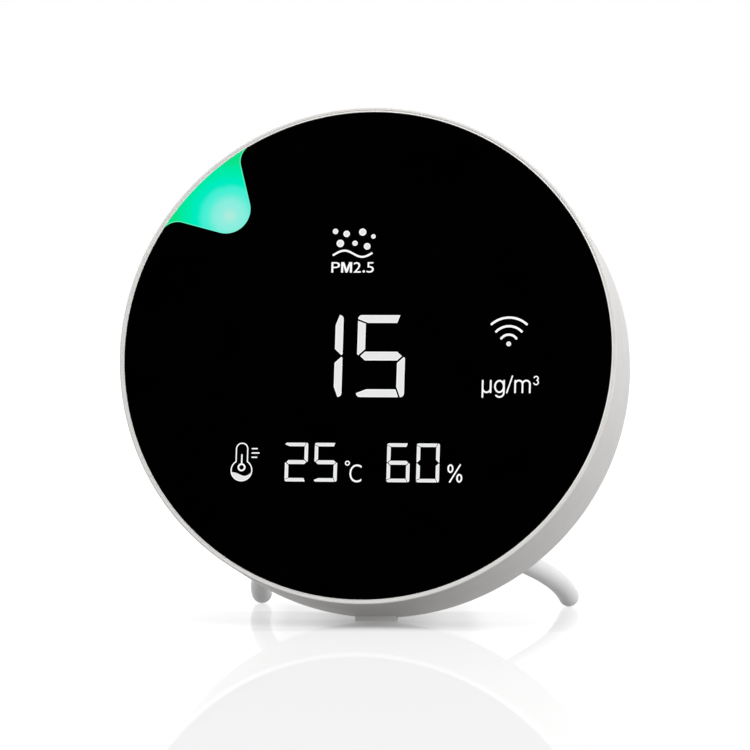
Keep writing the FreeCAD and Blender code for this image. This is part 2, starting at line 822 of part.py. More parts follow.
def make_usb_socket():
    body = new_body("usb_body")
    half = usb_half_width - usb_radius
    inner = usb_radius - 0.3
    pad(
        body,
        "shell",
        lambda sketch: slot(sketch, usb_x - half, usb_x + half, port_z, usb_radius),
        main_board_back,
        usb_end,
    )
    pocket(
        body,
        "mouth",
        lambda sketch: slot(sketch, usb_x - half, usb_x + half, port_z, inner),
        main_board_back + 1.5,
        usb_end,
    )
    pad(
        body,
        "tongue",
        lambda sketch: rectangle(sketch, usb_x - 3.3, usb_x + 3.3, port_z - 0.35, port_z + 0.35),
        main_board_back + 1.5,
        usb_end - 0.8,
    )
    in_drum(body, "usb_socket")


def make_cables():
    """Flat cables to the display board and to the particle sensor, and the battery lead."""
    flex = new_body("flex_body")
    near = display_board_back + flex_socket_tall / 2
    far = main_board_front - flex_socket_tall / 2
    sketch = new_sketch(flex, "YZ_Plane", -36.5)
    middle, bend = (near + far) / 2, (far - near) / 2
    mouth = as_size(-17.5)
    outer = arc(sketch, middle, mouth, bend + ribbon_half, 180, 360)
    inner = arc(sketch, middle, mouth, bend - ribbon_half, 180, 360)
    socket = -16
    for hand, end in ((-1, 1), (1, 2)):
        out_y = middle.value + hand * (bend.value + ribbon_half.value)
        in_y = middle.value + hand * (bend.value - ribbon_half.value)
        outside_edge = line(sketch, out_y, mouth.value, out_y, socket)
        end_edge = line(sketch, out_y, socket, in_y, socket)
        inside_edge = line(sketch, in_y, socket, in_y, mouth.value)
        constrain(sketch, "Tangent", outer, end, outside_edge, 1)
        constrain(sketch, "Coincident", outside_edge, 2, end_edge, 1)
        constrain(sketch, "Coincident", end_edge, 2, inside_edge, 1)
        constrain(sketch, "Tangent", inside_edge, 2, inner, end)
        constrain(sketch, "DistanceY", -1, 1, end_edge, 1, size=socket)
        constrain(sketch, "DistanceY", -1, 1, end_edge, 2, size=socket)
        constrain(sketch, "DistanceY", -1, 1, inner, end, size=mouth)
        constrain(sketch, "DistanceY", -1, 1, outer, end, size=mouth)
    feature(flex, "Pad", "strip", sketch, 5)
    in_drum(flex, "display_cable")
    strip_y = main_board_front - 0.8
    strip_ends = SENSOR_SOCKET[3], SENSOR_CABLE_TOP
    strip = plate("sensor_strip_body", (11, 15), (strip_y - ribbon_half * 2, strip_y), strip_ends)
    in_drum(strip, "sensor_cable")
    lead = new_body("lead_body")
    path = new_sketch(lead, "XY_Plane", lead_z)
    start_y = battery_front + battery_thick / 2
    turn = main_board_front - lead_socket_tall - start_y
    straight_end = lead_x - turn
    first = line(path, battery_half.value, start_y.value, straight_end.value, start_y.value)
    bend_arc = arc(path, straight_end, start_y + turn, turn, 270, 360)
    fix_point(path, first, 1, battery_half, start_y)
    constrain(path, "Tangent", first, 2, bend_arc, 1)
    constrain(path, "Horizontal", bend_arc, 3, bend_arc, 2)
    section = new_sketch(lead, "YZ_Plane", battery_half)
    circle(section, start_y, lead_z, lead_radius)
    pipe = lead.newObject("PartDesign::AdditivePipe", "lead_pipe")
    pipe.Profile = section
    pipe.Spine = (path, ["Edge1", "Edge2"])
    lead.Tip = pipe
    in_drum(lead, "battery_lead")


def make_button():
    """The button on the back, and the switch it presses."""
    switch = block(
        "switch_box",
        (button_x - 3, button_x + 3),
        (main_board_back, switch_top),
        (port_z - 3, port_z + 3),
    )
    well_ends = switch_top - switch_well, switch_top + 1
    well = rod("switch_well", button_x, port_z, well_ends, plunger_radius + play)
    in_drum(less("switch", switch, well), "button_switch")
    plunger = new_body("plunger_body")
    pad(
        plunger,
        "pin",
        lambda sketch: circle(sketch, button_x, port_z, plunger_radius),
        switch_top - switch_well + button_travel + 0.1,
        stem_foot,
    )
    in_drum(plunger, "switch_plunger")
    cap = new_body("button_body")
    stem_radius = plunger_radius + 0.4
    pad(cap, "stem", lambda sketch: circle(sketch, button_x, port_z, stem_radius), stem_foot, flange_back)
    pad(
        cap,
        "flange",
        lambda sketch: circle(sketch, button_x, port_z, button_radius + 0.9),
        flange_back - 0.8,
        flange_back,
    )
    pad(
        cap,
        "cap",
        lambda sketch: circle(sketch, button_x, port_z, button_radius),
        flange_back,
        drum_depth + button_proud,
    )

    def top_edge(edge):
        end = (drum_depth + button_proud).value
        return isinstance(edge.Curve, Part.Circle) and abs(edge.Curve.Center.y - end) < 1e-3

    round_edges(cap, "crown", crown_round, top_edge)
    in_drum(cap, "power_button")


# ---- sensors --------------------------------------------------------------------------------------------

def make_sensor_case():
    """The particle sensor's box: a round fan chamber, an optical chamber, a laser bore and two ears."""
    low, high = -sensor_half, sensor_half
    foot, floor = sensor_foot, chamber_floor
    box = block("case_box", (low, high), (case_front, case_back), (foot, sensor_top))
    ears = [
        block("left_ear", (low - 5, low), (ear_back - 2, ear_back), (ear_z - 3, ear_z + 3)),
        block("right_ear", (high, high + 5), (ear_back - 2, ear_back), (ear_z - 3, ear_z + 3)),
    ]
    optic_across = optic_left, optic_right
    hollows = [
        rod("fan_chamber", fan_x, fan_z, (case_front - 1, floor), fan_chamber_radius),
        block("optical_chamber", optic_across, (case_front - 1, floor - 1), (optic_foot, optic_top)),
        block("air_channel", (0, optic_left + 1), (floor - 5, floor - 1), (17, 25)),
        block("outlet", (-16, -3), (floor - 1, case_back + 1), (27, 31)),
        rod("inlet", laser_x, 30, (floor - 2, case_back + 1), 3),
        rod("left_ear_hole", -ear_x, ear_z, (ear_back - 3, ear_back + 1), screw_radius + hole_play),
        rod("right_ear_hole", ear_x, ear_z, (ear_back - 3, ear_back + 1), screw_radius + hole_play),
    ]
    laser_bore = doc.addObject("Part::Cylinder", "laser_bore")
    bind(laser_bore, "Radius", laser_radius + play)
    bind(laser_bore, "Height", optic_foot - foot + 2)
    for axis, size in (("x", laser_x), ("y", laser_y), ("z", foot - 1)):
        bind(laser_bore, f"Placement.Base.{axis}", size)
    solid = fused("case_solid", [box] + ears)
    in_drum(less("case_shape", solid, fused("case_hollows", hollows + [laser_bore])), "sensor_case")


def make_sensor_parts():
    low, high = -sensor_half, sensor_half
    lid = plate("sensor_lid_body", (low, high), (case_front - 1, case_front), (sensor_foot, sensor_top))
    in_drum(lid, "sensor_lid")
    board_front = case_front + 0.1
    board_back = board_front + 1
    across = optic_left + optic_play, optic_right - optic_play
    up = optic_foot + optic_play, optic_top - optic_play
    in_drum(plate("sensor_board_body", across, (board_front, board_back), up), "sensor_board")
    diode_x, diode_z = (laser_x - 1.5, laser_x + 1.5), (optic_foot + 5, optic_foot + 8)
    in_drum(plate("photodiode_body", diode_x, (board_back, board_back + 1.4), diode_z), "photodiode")
    laser = doc.addObject("Part::Cylinder", "laser_can")
    bind(laser, "Radius", laser_radius)
    bind(laser, "Height", laser_long)
    for axis, size in (("x", laser_x), ("y", laser_y), ("z", laser_foot)):
        bind(laser, f"Placement.Base.{axis}", size)
    in_drum(group("laser", [laser]), "laser_diode")


def make_fan():
    """The fan inside the particle sensor: a fixed motor core and a bladed rotor on a plain bearing."""
    floor = chamber_floor
    core = fused(
        "fan_core",
        [
            rod("fan_base", fan_x, fan_z, (floor - fan_base_thick, floor), fan_base_radius),
            rod("fan_tube", fan_x, fan_z, (fan_front + 1.5, floor), fan_tube_radius),
            rod("fan_coil", fan_x, fan_z, (fan_front + 3.2, floor - 1), fan_coil_radius),
        ],
    )
    bore = rod("fan_bore", fan_x, fan_z, (fan_front, floor - 0.2), shaft_radius + play)
    in_drum(less("fan_stator_shape", core, bore), "fan_stator")
    rotor = new_body("rotor_body")
    skirt_back = floor - 1
    hub = circle_at_fan(hub_radius)
    pad(rotor, "cap", hub, fan_front, fan_front + 1)

    def skirt(sketch):
        circle(sketch, fan_x, fan_z, hub_radius)
        circle(sketch, fan_x, fan_z, hub_radius - hub_wall)

    pad(rotor, "skirt", skirt, fan_front + 1, skirt_back)
    pad(rotor, "shaft", circle_at_fan(shaft_radius), fan_front + 1, skirt_back)
    for number in range(BLADES):
        angle = 360 * number / BLADES
        pad(rotor, f"blade_{number}", blade(angle), fan_front, skirt_back)
    in_drum(rotor, "fan_rotor")


def circle_at_fan(radius):
    return lambda sketch: circle(sketch, fan_x, fan_z, radius)


def blade(angle):
    """A backward-leaning straight blade that starts inside the hub's wall."""

    def draw(sketch):
        root = as_size(angle)
        tip = as_size(angle + BLADE_LEAN)
        inner, outer = hub_radius - hub_wall / 2, blade_radius
        corners = []
        for radius, turn, side in ((inner, root, -1), (outer, tip, -1), (outer, tip, 1), (inner, root, 1)):
            across = blade_half * side
            x = fan_x + radius * cosine(turn) - across * sine(turn)
            z = fan_z + radius * sine(turn) + across * cosine(turn)
            corners.append((x, z))
        polygon(sketch, corners)

    return draw


def make_vent_parts():
    """The foam frame that seals the sensor to the vents, and the dust screen between them."""
    gasket = plate("gasket_body", (-seal_half, seal_half), (case_back, gasket_back), (seal_foot, seal_top))
    inner, outer = seal_middle, seal_half - seal_width
    foot, top = seal_foot + seal_width, seal_top - seal_width

    def openings(sketch):
        rectangle(sketch, -outer, -inner, foot, top)
        rectangle(sketch, inner, outer, foot, top)

    pocket(gasket, "openings", openings, case_back, gasket_back)
    in_drum(gasket, "sensor_gasket")
    screen = plate("screen_body", (-seal_half, seal_half), (gasket_back, inner_back), (seal_foot, seal_top))
    first = foot + 0.2

    def meshes(sketch):
        rectangle(sketch, -outer, -inner, first, first + mesh_gap)
        rectangle(sketch, inner, outer, first, first + mesh_gap)

    row = pocket(screen, "meshes", meshes, gasket_back, inner_back)
    repeat(screen, row, "screen_rows", MESH_ROWS, mesh_pitch * (MESH_ROWS - 1))
    in_drum(screen, "dust_screen")


def repeat(body, row, name, count, length):
    """Repeat a cut upwards along the drum's own Z."""
    rows = body.newObject("PartDesign::LinearPattern", name)
    rows.Originals = [row]
    rows.Direction = (row.Profile[0], ["V_Axis"])
    bind(rows, "Length", length)
    rows.Occurrences = count
    body.Tip = rows


def make_climate_sensor():
    left, right = climate_x - climate_half, climate_x + climate_half
    near, far = climate_x - climate_chip, climate_x + climate_chip
    low, high = climate_z - climate_chip, climate_z + climate_chip
    board_back, board_top = climate_front + 0.8, climate_foot + 10
    sensor = fused(
        "climate",
        [
            block("climate_board", (left, right), (climate_front, board_back), (climate_foot, board_top)),
            block("climate_chip", (near, far), (board_back, board_back + 0.9), (low, high)),
        ],
    )
    in_drum(sensor, "climate_sensor")


# ---- rear shell and base pad ----------------------------------------------------------------------------

def make_rear_shell():
    """The one-piece side wall and back, with vents, port, button hole, bosses and posts."""
    body = new_body("shell_body")
    revolve(
        body,
        "cup",
        [
            (lip_bore, 0),
            (drum_radius, 0),
            (drum_radius, drum_depth),
            (0, drum_depth),
            (0, inner_back),
            (shell_bore, inner_back),
            (shell_bore, lip_depth),
            (lip_bore, lip_depth),
        ],
    )
    round_edges(body, "back_round", back_round, circular(drum_radius, drum_depth))
    round_edges(body, "lip_round", lip_round, circular(drum_radius, 0))
    round_edges(body, "lip_inner_round", lip_inner_round, circular(lip_bore, 0))

    def bosses(sketch):
        ring_of_circles(sketch, 4, boss_pitch, boss_radius + 0.2)

    def main_posts(sketch):
        for x, z in MAIN_POSTS:
            circle(sketch, x, z, post_radius)

    def ear_posts(sketch):
        circle(sketch, -ear_x, ear_z, ear_post_radius)
        circle(sketch, ear_x, ear_z, ear_post_radius)

    def small_posts(sketch):
        circle(sketch, climate_x, climate_post_z, climate_post_radius)
        for side in (-1, 1):
            circle(sketch, 0, hinge_z + hinge_screw_pitch * side, post_radius)

    pad(body, "bosses", bosses, boss_split + play, inner_back + 0.1)
    pad(body, "main_posts", main_posts, main_board_back, inner_back + 0.1)
    pad(body, "ear_posts", ear_posts, ear_back, inner_back + 0.1)
    pad(body, "small_posts", small_posts, climate_front + 0.8, inner_back + 0.1)

    def boss_bores(sketch):
        ring_of_circles(sketch, 4, boss_pitch, screw_radius + hole_play)

    def head_bores(sketch):
        ring_of_circles(sketch, 4, boss_pitch, head_bore)

    def main_pilots(sketch):
        for x, z in MAIN_POSTS:
            circle(sketch, x, z, pilot_radius)

    def ear_pilots(sketch):
        circle(sketch, -ear_x, ear_z, pilot_radius)
        circle(sketch, ear_x, ear_z, pilot_radius)

    def hinge_pilots(sketch):
        for side in (-1, 1):
            circle(sketch, 0, hinge_z + hinge_screw_pitch * side, pilot_radius)

    pocket(body, "boss_bores", boss_bores, boss_split, drum_depth)
    pocket(body, "head_bores", head_bores, head_seat, drum_depth)
    pocket(body, "main_pilots", main_pilots, main_board_back, main_board_back + pilot_depth)
    pocket(body, "ear_pilots", ear_pilots, ear_back, ear_back + 3)
    pocket(body, "hinge_pilots", hinge_pilots, climate_front + 1.3, drum_depth)

    def port_openings(sketch):
        half = usb_half_width - usb_radius
        slot(sketch, usb_x - half, usb_x + half, port_z, usb_radius + 0.15)
        circle(sketch, button_x, port_z, button_radius + button_play)

    def climate_vents(sketch):
        for step in (-1, 0, 1):
            height = climate_z + climate_vent_pitch * step
            near, far = climate_x - climate_vent_half, climate_x + climate_vent_half
            slot(sketch, near, far, height, climate_vent_radius)

    def vents(sketch):
        slot(sketch, -vent_far, -vent_near, vent_foot, vent_radius)
        slot(sketch, vent_near, vent_far, vent_foot, vent_radius)

    pocket(body, "port_openings", port_openings, inner_back, drum_depth)
    pocket(body, "climate_vents", climate_vents, inner_back, drum_depth)
    row = pocket(body, "vents", vents, inner_back, drum_depth)
    repeat(body, row, "vent_rows", VENT_ROWS, vent_pitch * (VENT_ROWS - 1))
    doc.recompute()
    recess = new_sketch(body, "XY_Plane", -drum_radius - 1)
    rectangle(recess, -pad_half - play, pad_half + play, pad_start - play, pad_end + play)
    feature(body, "Pocket", "pad_recess", recess, 1 + pad_sunk)
    in_drum(body, "rear_shell")


def make_base_pad():
    """A soft pad sunk into the bottom of the wall; its lower face lies on the floor."""
    body = new_body("pad_body")
    axis_height = drum_height + drum_depth / 2 * sine(tilt)

    def floor_at(depth):
        return (depth * sine(tilt) - axis_height) / cosine(tilt)

    sketch = new_sketch(body, "YZ_Plane", -pad_half)
    top = pad_sunk - drum_radius
    polygon(
        sketch,
        [
            (pad_start, floor_at(pad_start)),
            (pad_end, floor_at(pad_end)),
            (pad_end, top),
            (pad_start, top),
        ],
    )
    feature(body, "Pad", "wedge", sketch, pad_half * 2)
    in_drum(body, "base_pad")


# ---- hinge and stand ------------------------------------------------------------------------------------

def clamp_half(name, start, end):
    """One half of the hinge block, bored for the stand's cross bar."""
    body = new_body(name)
    foot, top = hinge_z - clamp_tall / 2, hinge_z + clamp_tall / 2
    half = clamp_half_width
    pad(body, "block", lambda sketch: rectangle(sketch, -half, half, foot, top), start, end)
    round_edges(body, "corners", clamp_round, standing((-clamp_half_width, clamp_half_width), (foot, top)))

    def holes(sketch):
        for side in (-1, 1):
            circle(sketch, 0, hinge_z + hinge_screw_pitch * side, screw_radius + hole_play)

    pocket(body, "holes", holes, start, end)
    bore = new_sketch(body, "YZ_Plane", -clamp_half_width - 1)
    circle(bore, drum_depth + hinge_gap, hinge_z, wire_radius + play)
    feature(body, "Pocket", "bore", bore, clamp_half_width * 2 + 2)
    return body


def make_hinge():
    split = drum_depth + hinge_gap
    in_drum(clamp_half("saddle_body", drum_depth, split), "hinge_saddle")
    cap = clamp_half("cap_body", split, split + cap_thick)

    def head_bores(sketch):
        for side in (-1, 1):
            circle(sketch, 0, hinge_z + hinge_screw_pitch * side, head_bore - 0.3)

    pocket(cap, "head_bores", head_bores, split + cap_thick - 1.6, split + cap_thick)
    round_edges(cap, "crown", crown_round, lambda edge: outer_rim(edge, (split + cap_thick).value))
    in_drum(cap, "hinge_cap")


def outer_rim(edge, depth):
    """Picks the outline of the hinge cap's outer face but not its screw holes."""
    flat = all(abs(vertex.Point.y - depth) < 1e-4 for vertex in edge.Vertexes)
    return flat and len(edge.Vertexes) == 2


def leg_path(body, hand):
    """Half of the wire's centre line, from the middle of the cross bar to one foot."""
    path = new_sketch(body, "XY_Plane")
    heading = math.radians(leg_heading.value)
    foot_heading = math.radians(FOOT_HEADING)
    bar_end, tight, wide = bar_half.value, tight_bend.value, wide_bend.value
    corner = FreeCAD.Vector(bar_end + tight * math.cos(heading), tight * (1 - math.sin(heading)), 0)
    foot = FreeCAD.Vector(foot_x.value, leg_reach.value, 0)
    centre = foot - FreeCAD.Vector(wide * math.cos(foot_heading), -wide * math.sin(foot_heading), 0)
    knee = centre + FreeCAD.Vector(wide * math.cos(heading), -wide * math.sin(heading), 0)
    bar = line(path, 0, 0, hand * bar_end, 0)
    straight = line(path, hand * corner.x, corner.y, hand * knee.x, knee.y)
    if hand == 1:
        tight_angles, wide_angles = (270, 360 - leg_heading.value), (-heading, -foot_heading)
        bar_side, straight_side, knee_side, foot_side = 1, 2, 1, 2
    else:
        tight_angles = 180 + leg_heading.value, 270
        wide_angles = math.pi + foot_heading, math.pi + heading
        bar_side, straight_side, knee_side, foot_side = 2, 1, 2, 1
    tight_arc = arc(path, bar_half * hand, tight_bend, tight_bend, *tight_angles)
    wide_circle = Part.Circle(FreeCAD.Vector(hand * centre.x, centre.y, 0), UP, wide)
    wide_arc = path.addGeometry(Part.ArcOfCircle(wide_circle, *wide_angles), False)
    fix_point(path, bar, 1, 0, 0)
    constrain(path, "Tangent", bar, 2, tight_arc, bar_side)
    constrain(path, "Tangent", tight_arc, straight_side, straight, 1)
    constrain(path, "Tangent", straight, 2, wide_arc, knee_side)
    constrain(path, "Radius", wide_arc, size=wide_bend)
    fix_point(path, wide_arc, foot_side, foot_x * hand, leg_reach)
    return path


def make_stand():
    """A round wire bent in one plane: a cross bar, a tight bend, a straight and a wide bend on each side."""
    body = new_body("stand_body")
    floor_plane = [item for item in body.Origin.OriginFeatures if item.Role == "XY_Plane"][0]
    for side, hand in (("right", 1), ("left", -1)):
        path = leg_path(body, hand)
        section = new_sketch(body, "YZ_Plane")
        circle(section, 0, 0, wire_radius)
        leg = body.newObject("PartDesign::AdditivePipe", side + "_leg")
        leg.Profile = section
        leg.Spine = (path, ["Edge1", "Edge2", "Edge3", "Edge4"])
        foot = body.newObject("PartDesign::AdditiveSphere", side + "_foot")
        bind(foot, "Radius", wire_radius)
        foot.AttachmentSupport = [(floor_plane, "")]
        foot.MapMode = "FlatFace"
        bind(foot, "AttachmentOffset.Base.x", foot_x * hand)
        bind(foot, "AttachmentOffset.Base.y", leg_reach)
        body.Tip = foot
    behind = drum_depth / 2 + hinge_gap
    height = drum_height - behind * sine(tilt) + hinge_z * cosine(tilt)
    slope = arc_sine((height - wire_radius) / leg_reach)
    place(body, "stand_rod", behind * cosine(tilt) + hinge_z * sine(tilt), height, slope)


# ---- screws ---------------------------------------------------------------------------------------------

def screw(name, x, z, head, tip):
    """A round-head screw from the head's outer face to its tip, either way along the drum's axis."""
    head, tip = as_size(head), as_size(tip)
    way = 1 if tip.value > head.value else -1
    seat = head + head_tall * way
    head_ends = (head, seat) if way == 1 else (seat, head)
    shank_ends = (seat - 0.1, tip) if way == 1 else (tip, seat + 0.1)
    return fused(name, [
        rod(name + "_head", x, z, head_ends, head_radius),
        rod(name + "_shank", x, z, shank_ends, shank_radius),
    ])


def around(count, pitch_radius, first_angle=0):
    for step in range(count):
        angle = as_size(first_angle + step * 360 / count)
        yield pitch_radius * cosine(angle), pitch_radius * sine(angle)


def make_screws():
    case_screws = [
        screw(f"case_screw_{number}", x, z, head_seat + head_tall, boss_split - pilot_depth + 1)
        for number, (x, z) in enumerate(around(4, boss_pitch), 1)
    ]
    in_drum(group("case_screw_set", case_screws), "case_screws")
    inner = [
        screw(f"board_screw_{number}", x, z, display_board_back + head_tall, shelf_back + 0.5)
        for number, (x, z) in enumerate(around(4, post_pitch, POST_ANGLE), 1)
    ]
    for number, (x, z) in enumerate(MAIN_POSTS, 1):
        inner.append(screw(f"main_screw_{number}", x, z, main_board_front - head_tall, main_board_back + 4))
    for number, x in enumerate((-ear_x, ear_x), 1):
        inner.append(screw(f"ear_screw_{number}", x, ear_z, ear_back - 2 - head_tall, ear_back + 2.5))
    in_drum(group("inner_screw_set", inner), "inner_screws")
    outer_face = drum_depth + hinge_gap + cap_thick - 1.6 + head_tall
    hinge_screws = [
        screw(f"hinge_screw_{number}", 0, hinge_z + hinge_screw_pitch * side, outer_face, climate_front + 2)
        for number, side in enumerate((-1, 1), 1)
    ]
    in_drum(group("hinge_screw_set", hinge_screws), "hinge_screws")


# ---- build, check and write -----------------------------------------------------------------------------

make_front_lens()
make_light_guide()
make_lens_tape()
make_front_frame()
make_display()
make_glow_lamps()
make_display_board()
make_battery()
make_main_board()
make_board_parts()
make_usb_socket()
make_cables()
make_button()
make_sensor_case()
make_sensor_parts()
make_fan()
make_vent_parts()
make_climate_sensor()
make_rear_shell()
make_base_pad()
make_hinge()
make_stand()
make_screws()
doc.recompute()

for item in doc.Objects:
    if "Invalid" in item.State or "Error" in item.State:
        raise RuntimeError(f"{item.Name} did not rebuild: {item.State}")
for part in sub_parts:
    if part.Shape.isNull() or not part.Shape.isValid():
        raise RuntimeError(f"{part.Label} has no valid shape")
os.makedirs("parts", exist_ok=True)
for part in sub_parts:
    part.Shape.exportStep(f"parts/{part.Label}.step")
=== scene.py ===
"""Looks of the air quality monitor: a tilted round drum with a black glass face on a bent wire stand."""

import json
from math import acos, asin, atan2, ceil, cos, degrees, pi, radians, sin, tan, tau

import bmesh
import bpy
from mathutils import Matrix, Vector


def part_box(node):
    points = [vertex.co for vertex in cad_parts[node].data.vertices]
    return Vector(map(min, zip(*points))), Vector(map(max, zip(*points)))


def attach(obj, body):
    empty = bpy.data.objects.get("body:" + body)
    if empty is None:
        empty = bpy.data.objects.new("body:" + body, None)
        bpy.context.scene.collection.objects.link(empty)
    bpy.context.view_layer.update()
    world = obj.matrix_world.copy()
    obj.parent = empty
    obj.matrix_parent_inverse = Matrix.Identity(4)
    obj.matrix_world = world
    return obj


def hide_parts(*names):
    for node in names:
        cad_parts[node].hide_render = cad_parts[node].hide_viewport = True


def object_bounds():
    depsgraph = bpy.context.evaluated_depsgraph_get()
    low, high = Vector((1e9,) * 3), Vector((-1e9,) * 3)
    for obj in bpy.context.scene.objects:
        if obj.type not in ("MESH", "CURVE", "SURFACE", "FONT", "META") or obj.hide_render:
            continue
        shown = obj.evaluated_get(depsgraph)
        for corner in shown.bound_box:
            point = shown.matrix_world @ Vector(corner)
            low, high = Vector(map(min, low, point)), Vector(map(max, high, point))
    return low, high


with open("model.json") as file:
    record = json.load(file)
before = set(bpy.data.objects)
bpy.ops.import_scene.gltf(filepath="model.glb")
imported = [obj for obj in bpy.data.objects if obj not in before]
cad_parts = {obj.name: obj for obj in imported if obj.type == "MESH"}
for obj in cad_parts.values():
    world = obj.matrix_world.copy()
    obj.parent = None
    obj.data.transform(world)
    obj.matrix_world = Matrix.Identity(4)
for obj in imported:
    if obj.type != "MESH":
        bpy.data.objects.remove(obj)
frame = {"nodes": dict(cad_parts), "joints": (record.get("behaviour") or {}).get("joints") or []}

CAD_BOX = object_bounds()
MM = 0.001
NODES = frame["nodes"]
JOINTS = {joint["name"]: joint for joint in frame["joints"]}

# ---- the drum's own frame, from the fan's shaft: x right, y back from the front lip, z up the face ----

FAN_SHAFT = Vector((-9, 18.3, 21))
RIGHT = Vector((1, 0, 0))
BACK = Vector(JOINTS["fan_spin"]["axis"]).normalized()
FACE_UP = RIGHT.cross(BACK)


def columns(x, y, z, place):
    """The matrix that takes millimetres along three directions from a place to the world's metres."""
    axes = Matrix((x, y, z)).transposed() * MM
    return Matrix.Translation(place) @ axes.to_4x4()


TURN_ONLY = columns(RIGHT, BACK, FACE_UP, Vector((0, 0, 0)))
ORIGIN = Vector(JOINTS["fan_spin"]["pos_m"]) - TURN_ONLY @ FAN_SHAFT
DRUM = columns(RIGHT, BACK, FACE_UP, ORIGIN)


def span(node, way):
    """Least and greatest distance of a CAD node from the drum's origin along one direction."""
    far = [(vertex.co - ORIGIN).dot(way) / MM for vertex in NODES[node].data.vertices]
    return min(far), max(far)


drum_radius = span("rear_shell", RIGHT)[1]
drum_depth = span("rear_shell", BACK)[1]
lens_radius = span("front_lens", RIGHT)[1]
lens_front, lens_back = span("front_lens", BACK)
trim_radius = span("front_frame", RIGHT)[1]
trim_front = span("front_frame", BACK)[0]
guide_back = span("light_guide", BACK)[1]

WALL = 2
BACK_ROUND = 0.9
LIP_ROUND = 0.28
LIP_INNER_ROUND = 0.012
LIP_DEPTH = 3.65
SEAM = 0.006
TRIM_BEVEL = 0.012
TRIM_SOFT = 0.05
LENS_GAP = 0.04
TRIM_SLOPE = 0.25
LENS_ROUND = 0.12
CHAMFER = 0.25
NOTCH_TURN = 45
NOTCH_APEX = 34.85
NOTCH_NOSE = 5.35
NOTCH_FLARE = 4
NOTCH_SIDE = 30
FLARE_PROUD = 0.1
WINDOW_PLAY = 0.05
NOTCH_LINE = 0.08

lip_bore = trim_radius + SEAM
shell_bore = drum_radius - WALL
inner_back = drum_depth - WALL

ROUND_STEPS = 288
FINE_STEP = radians(6)


# ---- outlines: closed lists of (x, z), anticlockwise seen from the front ----

def arc(x, z, radius, start, end, step=FINE_STEP):
    """Points along an arc, angles in radians."""
    count = max(2, ceil(abs(end - start) / step))
    angles = [start + (end - start) * number / count for number in range(count + 1)]
    return [(x + radius * cos(angle), z + radius * sin(angle)) for angle in angles]


def disc(x, z, radius, count=48):
    return arc(x, z, radius, 0, tau, tau / count)[:-1]


def stadium(x0, x1, z, radius):
    right = arc(x1, z, radius, -pi / 2, pi / 2)
    left = arc(x0, z, radius, pi / 2, pi * 1.5)
    return right + left


def grown(outline, distance):
    """The outline moved outwards all round, with its corners kept sharp."""
    if not distance:
        return outline
    moved = []
    for number, (x, z) in enumerate(outline):
        before = Vector(outline[number - 1])
        after = Vector(outline[(number + 1) % len(outline)])
        here = Vector((x, z))
        ahead = (here - before).normalized() + (after - here).normalized()
        outward = Vector((ahead.y, -ahead.x)).normalized()
        edge = (after - here).normalized()
        reach = distance / max(0.2, outward.dot(Vector((edge.y, -edge.x))))
        moved.append(tuple(here + outward * reach))
    return moved


def ribbon(points, width):
    """The outline of a stroke with round ends along a smooth open line."""
    line = [Vector(point) for point in points]
    sides = []
    for number, here in enumerate(line):
        ahead = (line[min(number + 1, len(line) - 1)] - line[max(number - 1, 0)]).normalized()
        sides.append(Vector((ahead.y, -ahead.x)) * width / 2)
    right = [tuple(here + side) for here, side in zip(line, sides)]
    left = [tuple(here - side) for here, side in zip(line, sides)]
    start = atan2(sides[-1].y, sides[-1].x)
    far_end = arc(*line[-1], width / 2, start, start + pi, radians(20))[1:-1]
    start = atan2(-sides[0].y, -sides[0].x)
    near_end = arc(*line[0], width / 2, start, start + pi, radians(20))[1:-1]
    return right + far_end + left[::-1] + near_end


def notch_edge(grow, rim):
    """The lens notch's edge from its right end round the nose to its left end, in the drum's x and z."""
    side = radians(NOTCH_SIDE)
    nose_height = NOTCH_APEX + NOTCH_NOSE / sin(side)
    reach = lens_radius + FLARE_PROUD - NOTCH_FLARE
    swing = side - asin((NOTCH_APEX * sin(side) - NOTCH_FLARE) / reach)
    flare_x, flare_z = reach * sin(swing), reach * cos(swing)
    flare_radius = NOTCH_FLARE - grow
    shut = acos((reach ** 2 + rim ** 2 - flare_radius ** 2) / (2 * reach * rim))
    end_x, end_z = rim * sin(swing - shut), rim * cos(swing - shut)
    start = atan2(end_z - flare_z, end_x - flare_x)
    half = arc(flare_x, flare_z, flare_radius, start, pi - side, radians(3))
    half += arc(0, nose_height, NOTCH_NOSE + grow, -side, -pi / 2, radians(3))
    whole = half + [(-x, z) for x, z in half[-2::-1]]
    turn = Matrix.Rotation(radians(NOTCH_TURN), 2)
    return [tuple(turn @ Vector(point)) for point in whole]


def rim_arc(start, end, radius, long_way):
    """The arc of the rim from one notch end to the other, the long way round or across the mouth."""
    first = atan2(start[1], start[0])
    last = atan2(end[1], end[0])
    if long_way and last < first:
        last += tau
    return arc(0, 0, radius, first, last, tau / ROUND_STEPS)[1:-1]


# ---- solids -----------------------------------------------

def edge_layer(shape):
    """How bright each point of a lit shape is: 1 at its bright edge."""
    layers = shape.verts.layers.float
    return layers.get("edge") or layers.new("edge")


def skin(shape, loops, closed=False):
    """Faces between neighbouring loops, and over both ends unless the last loop meets the first."""
    if closed:
        pairs = zip(loops, loops[1:] + loops[:1])
        faces = []
    else:
        pairs = zip(loops, loops[1:])
        faces = [shape.faces.new(loops[0][::-1]), shape.faces.new(loops[-1])]
    for near, far in pairs:
        for number in range(len(near)):
            after = (number + 1) % len(near)
            faces.append(shape.faces.new((near[number], near[after], far[after], far[number])))
    bmesh.ops.recalc_face_normals(shape, faces=faces)


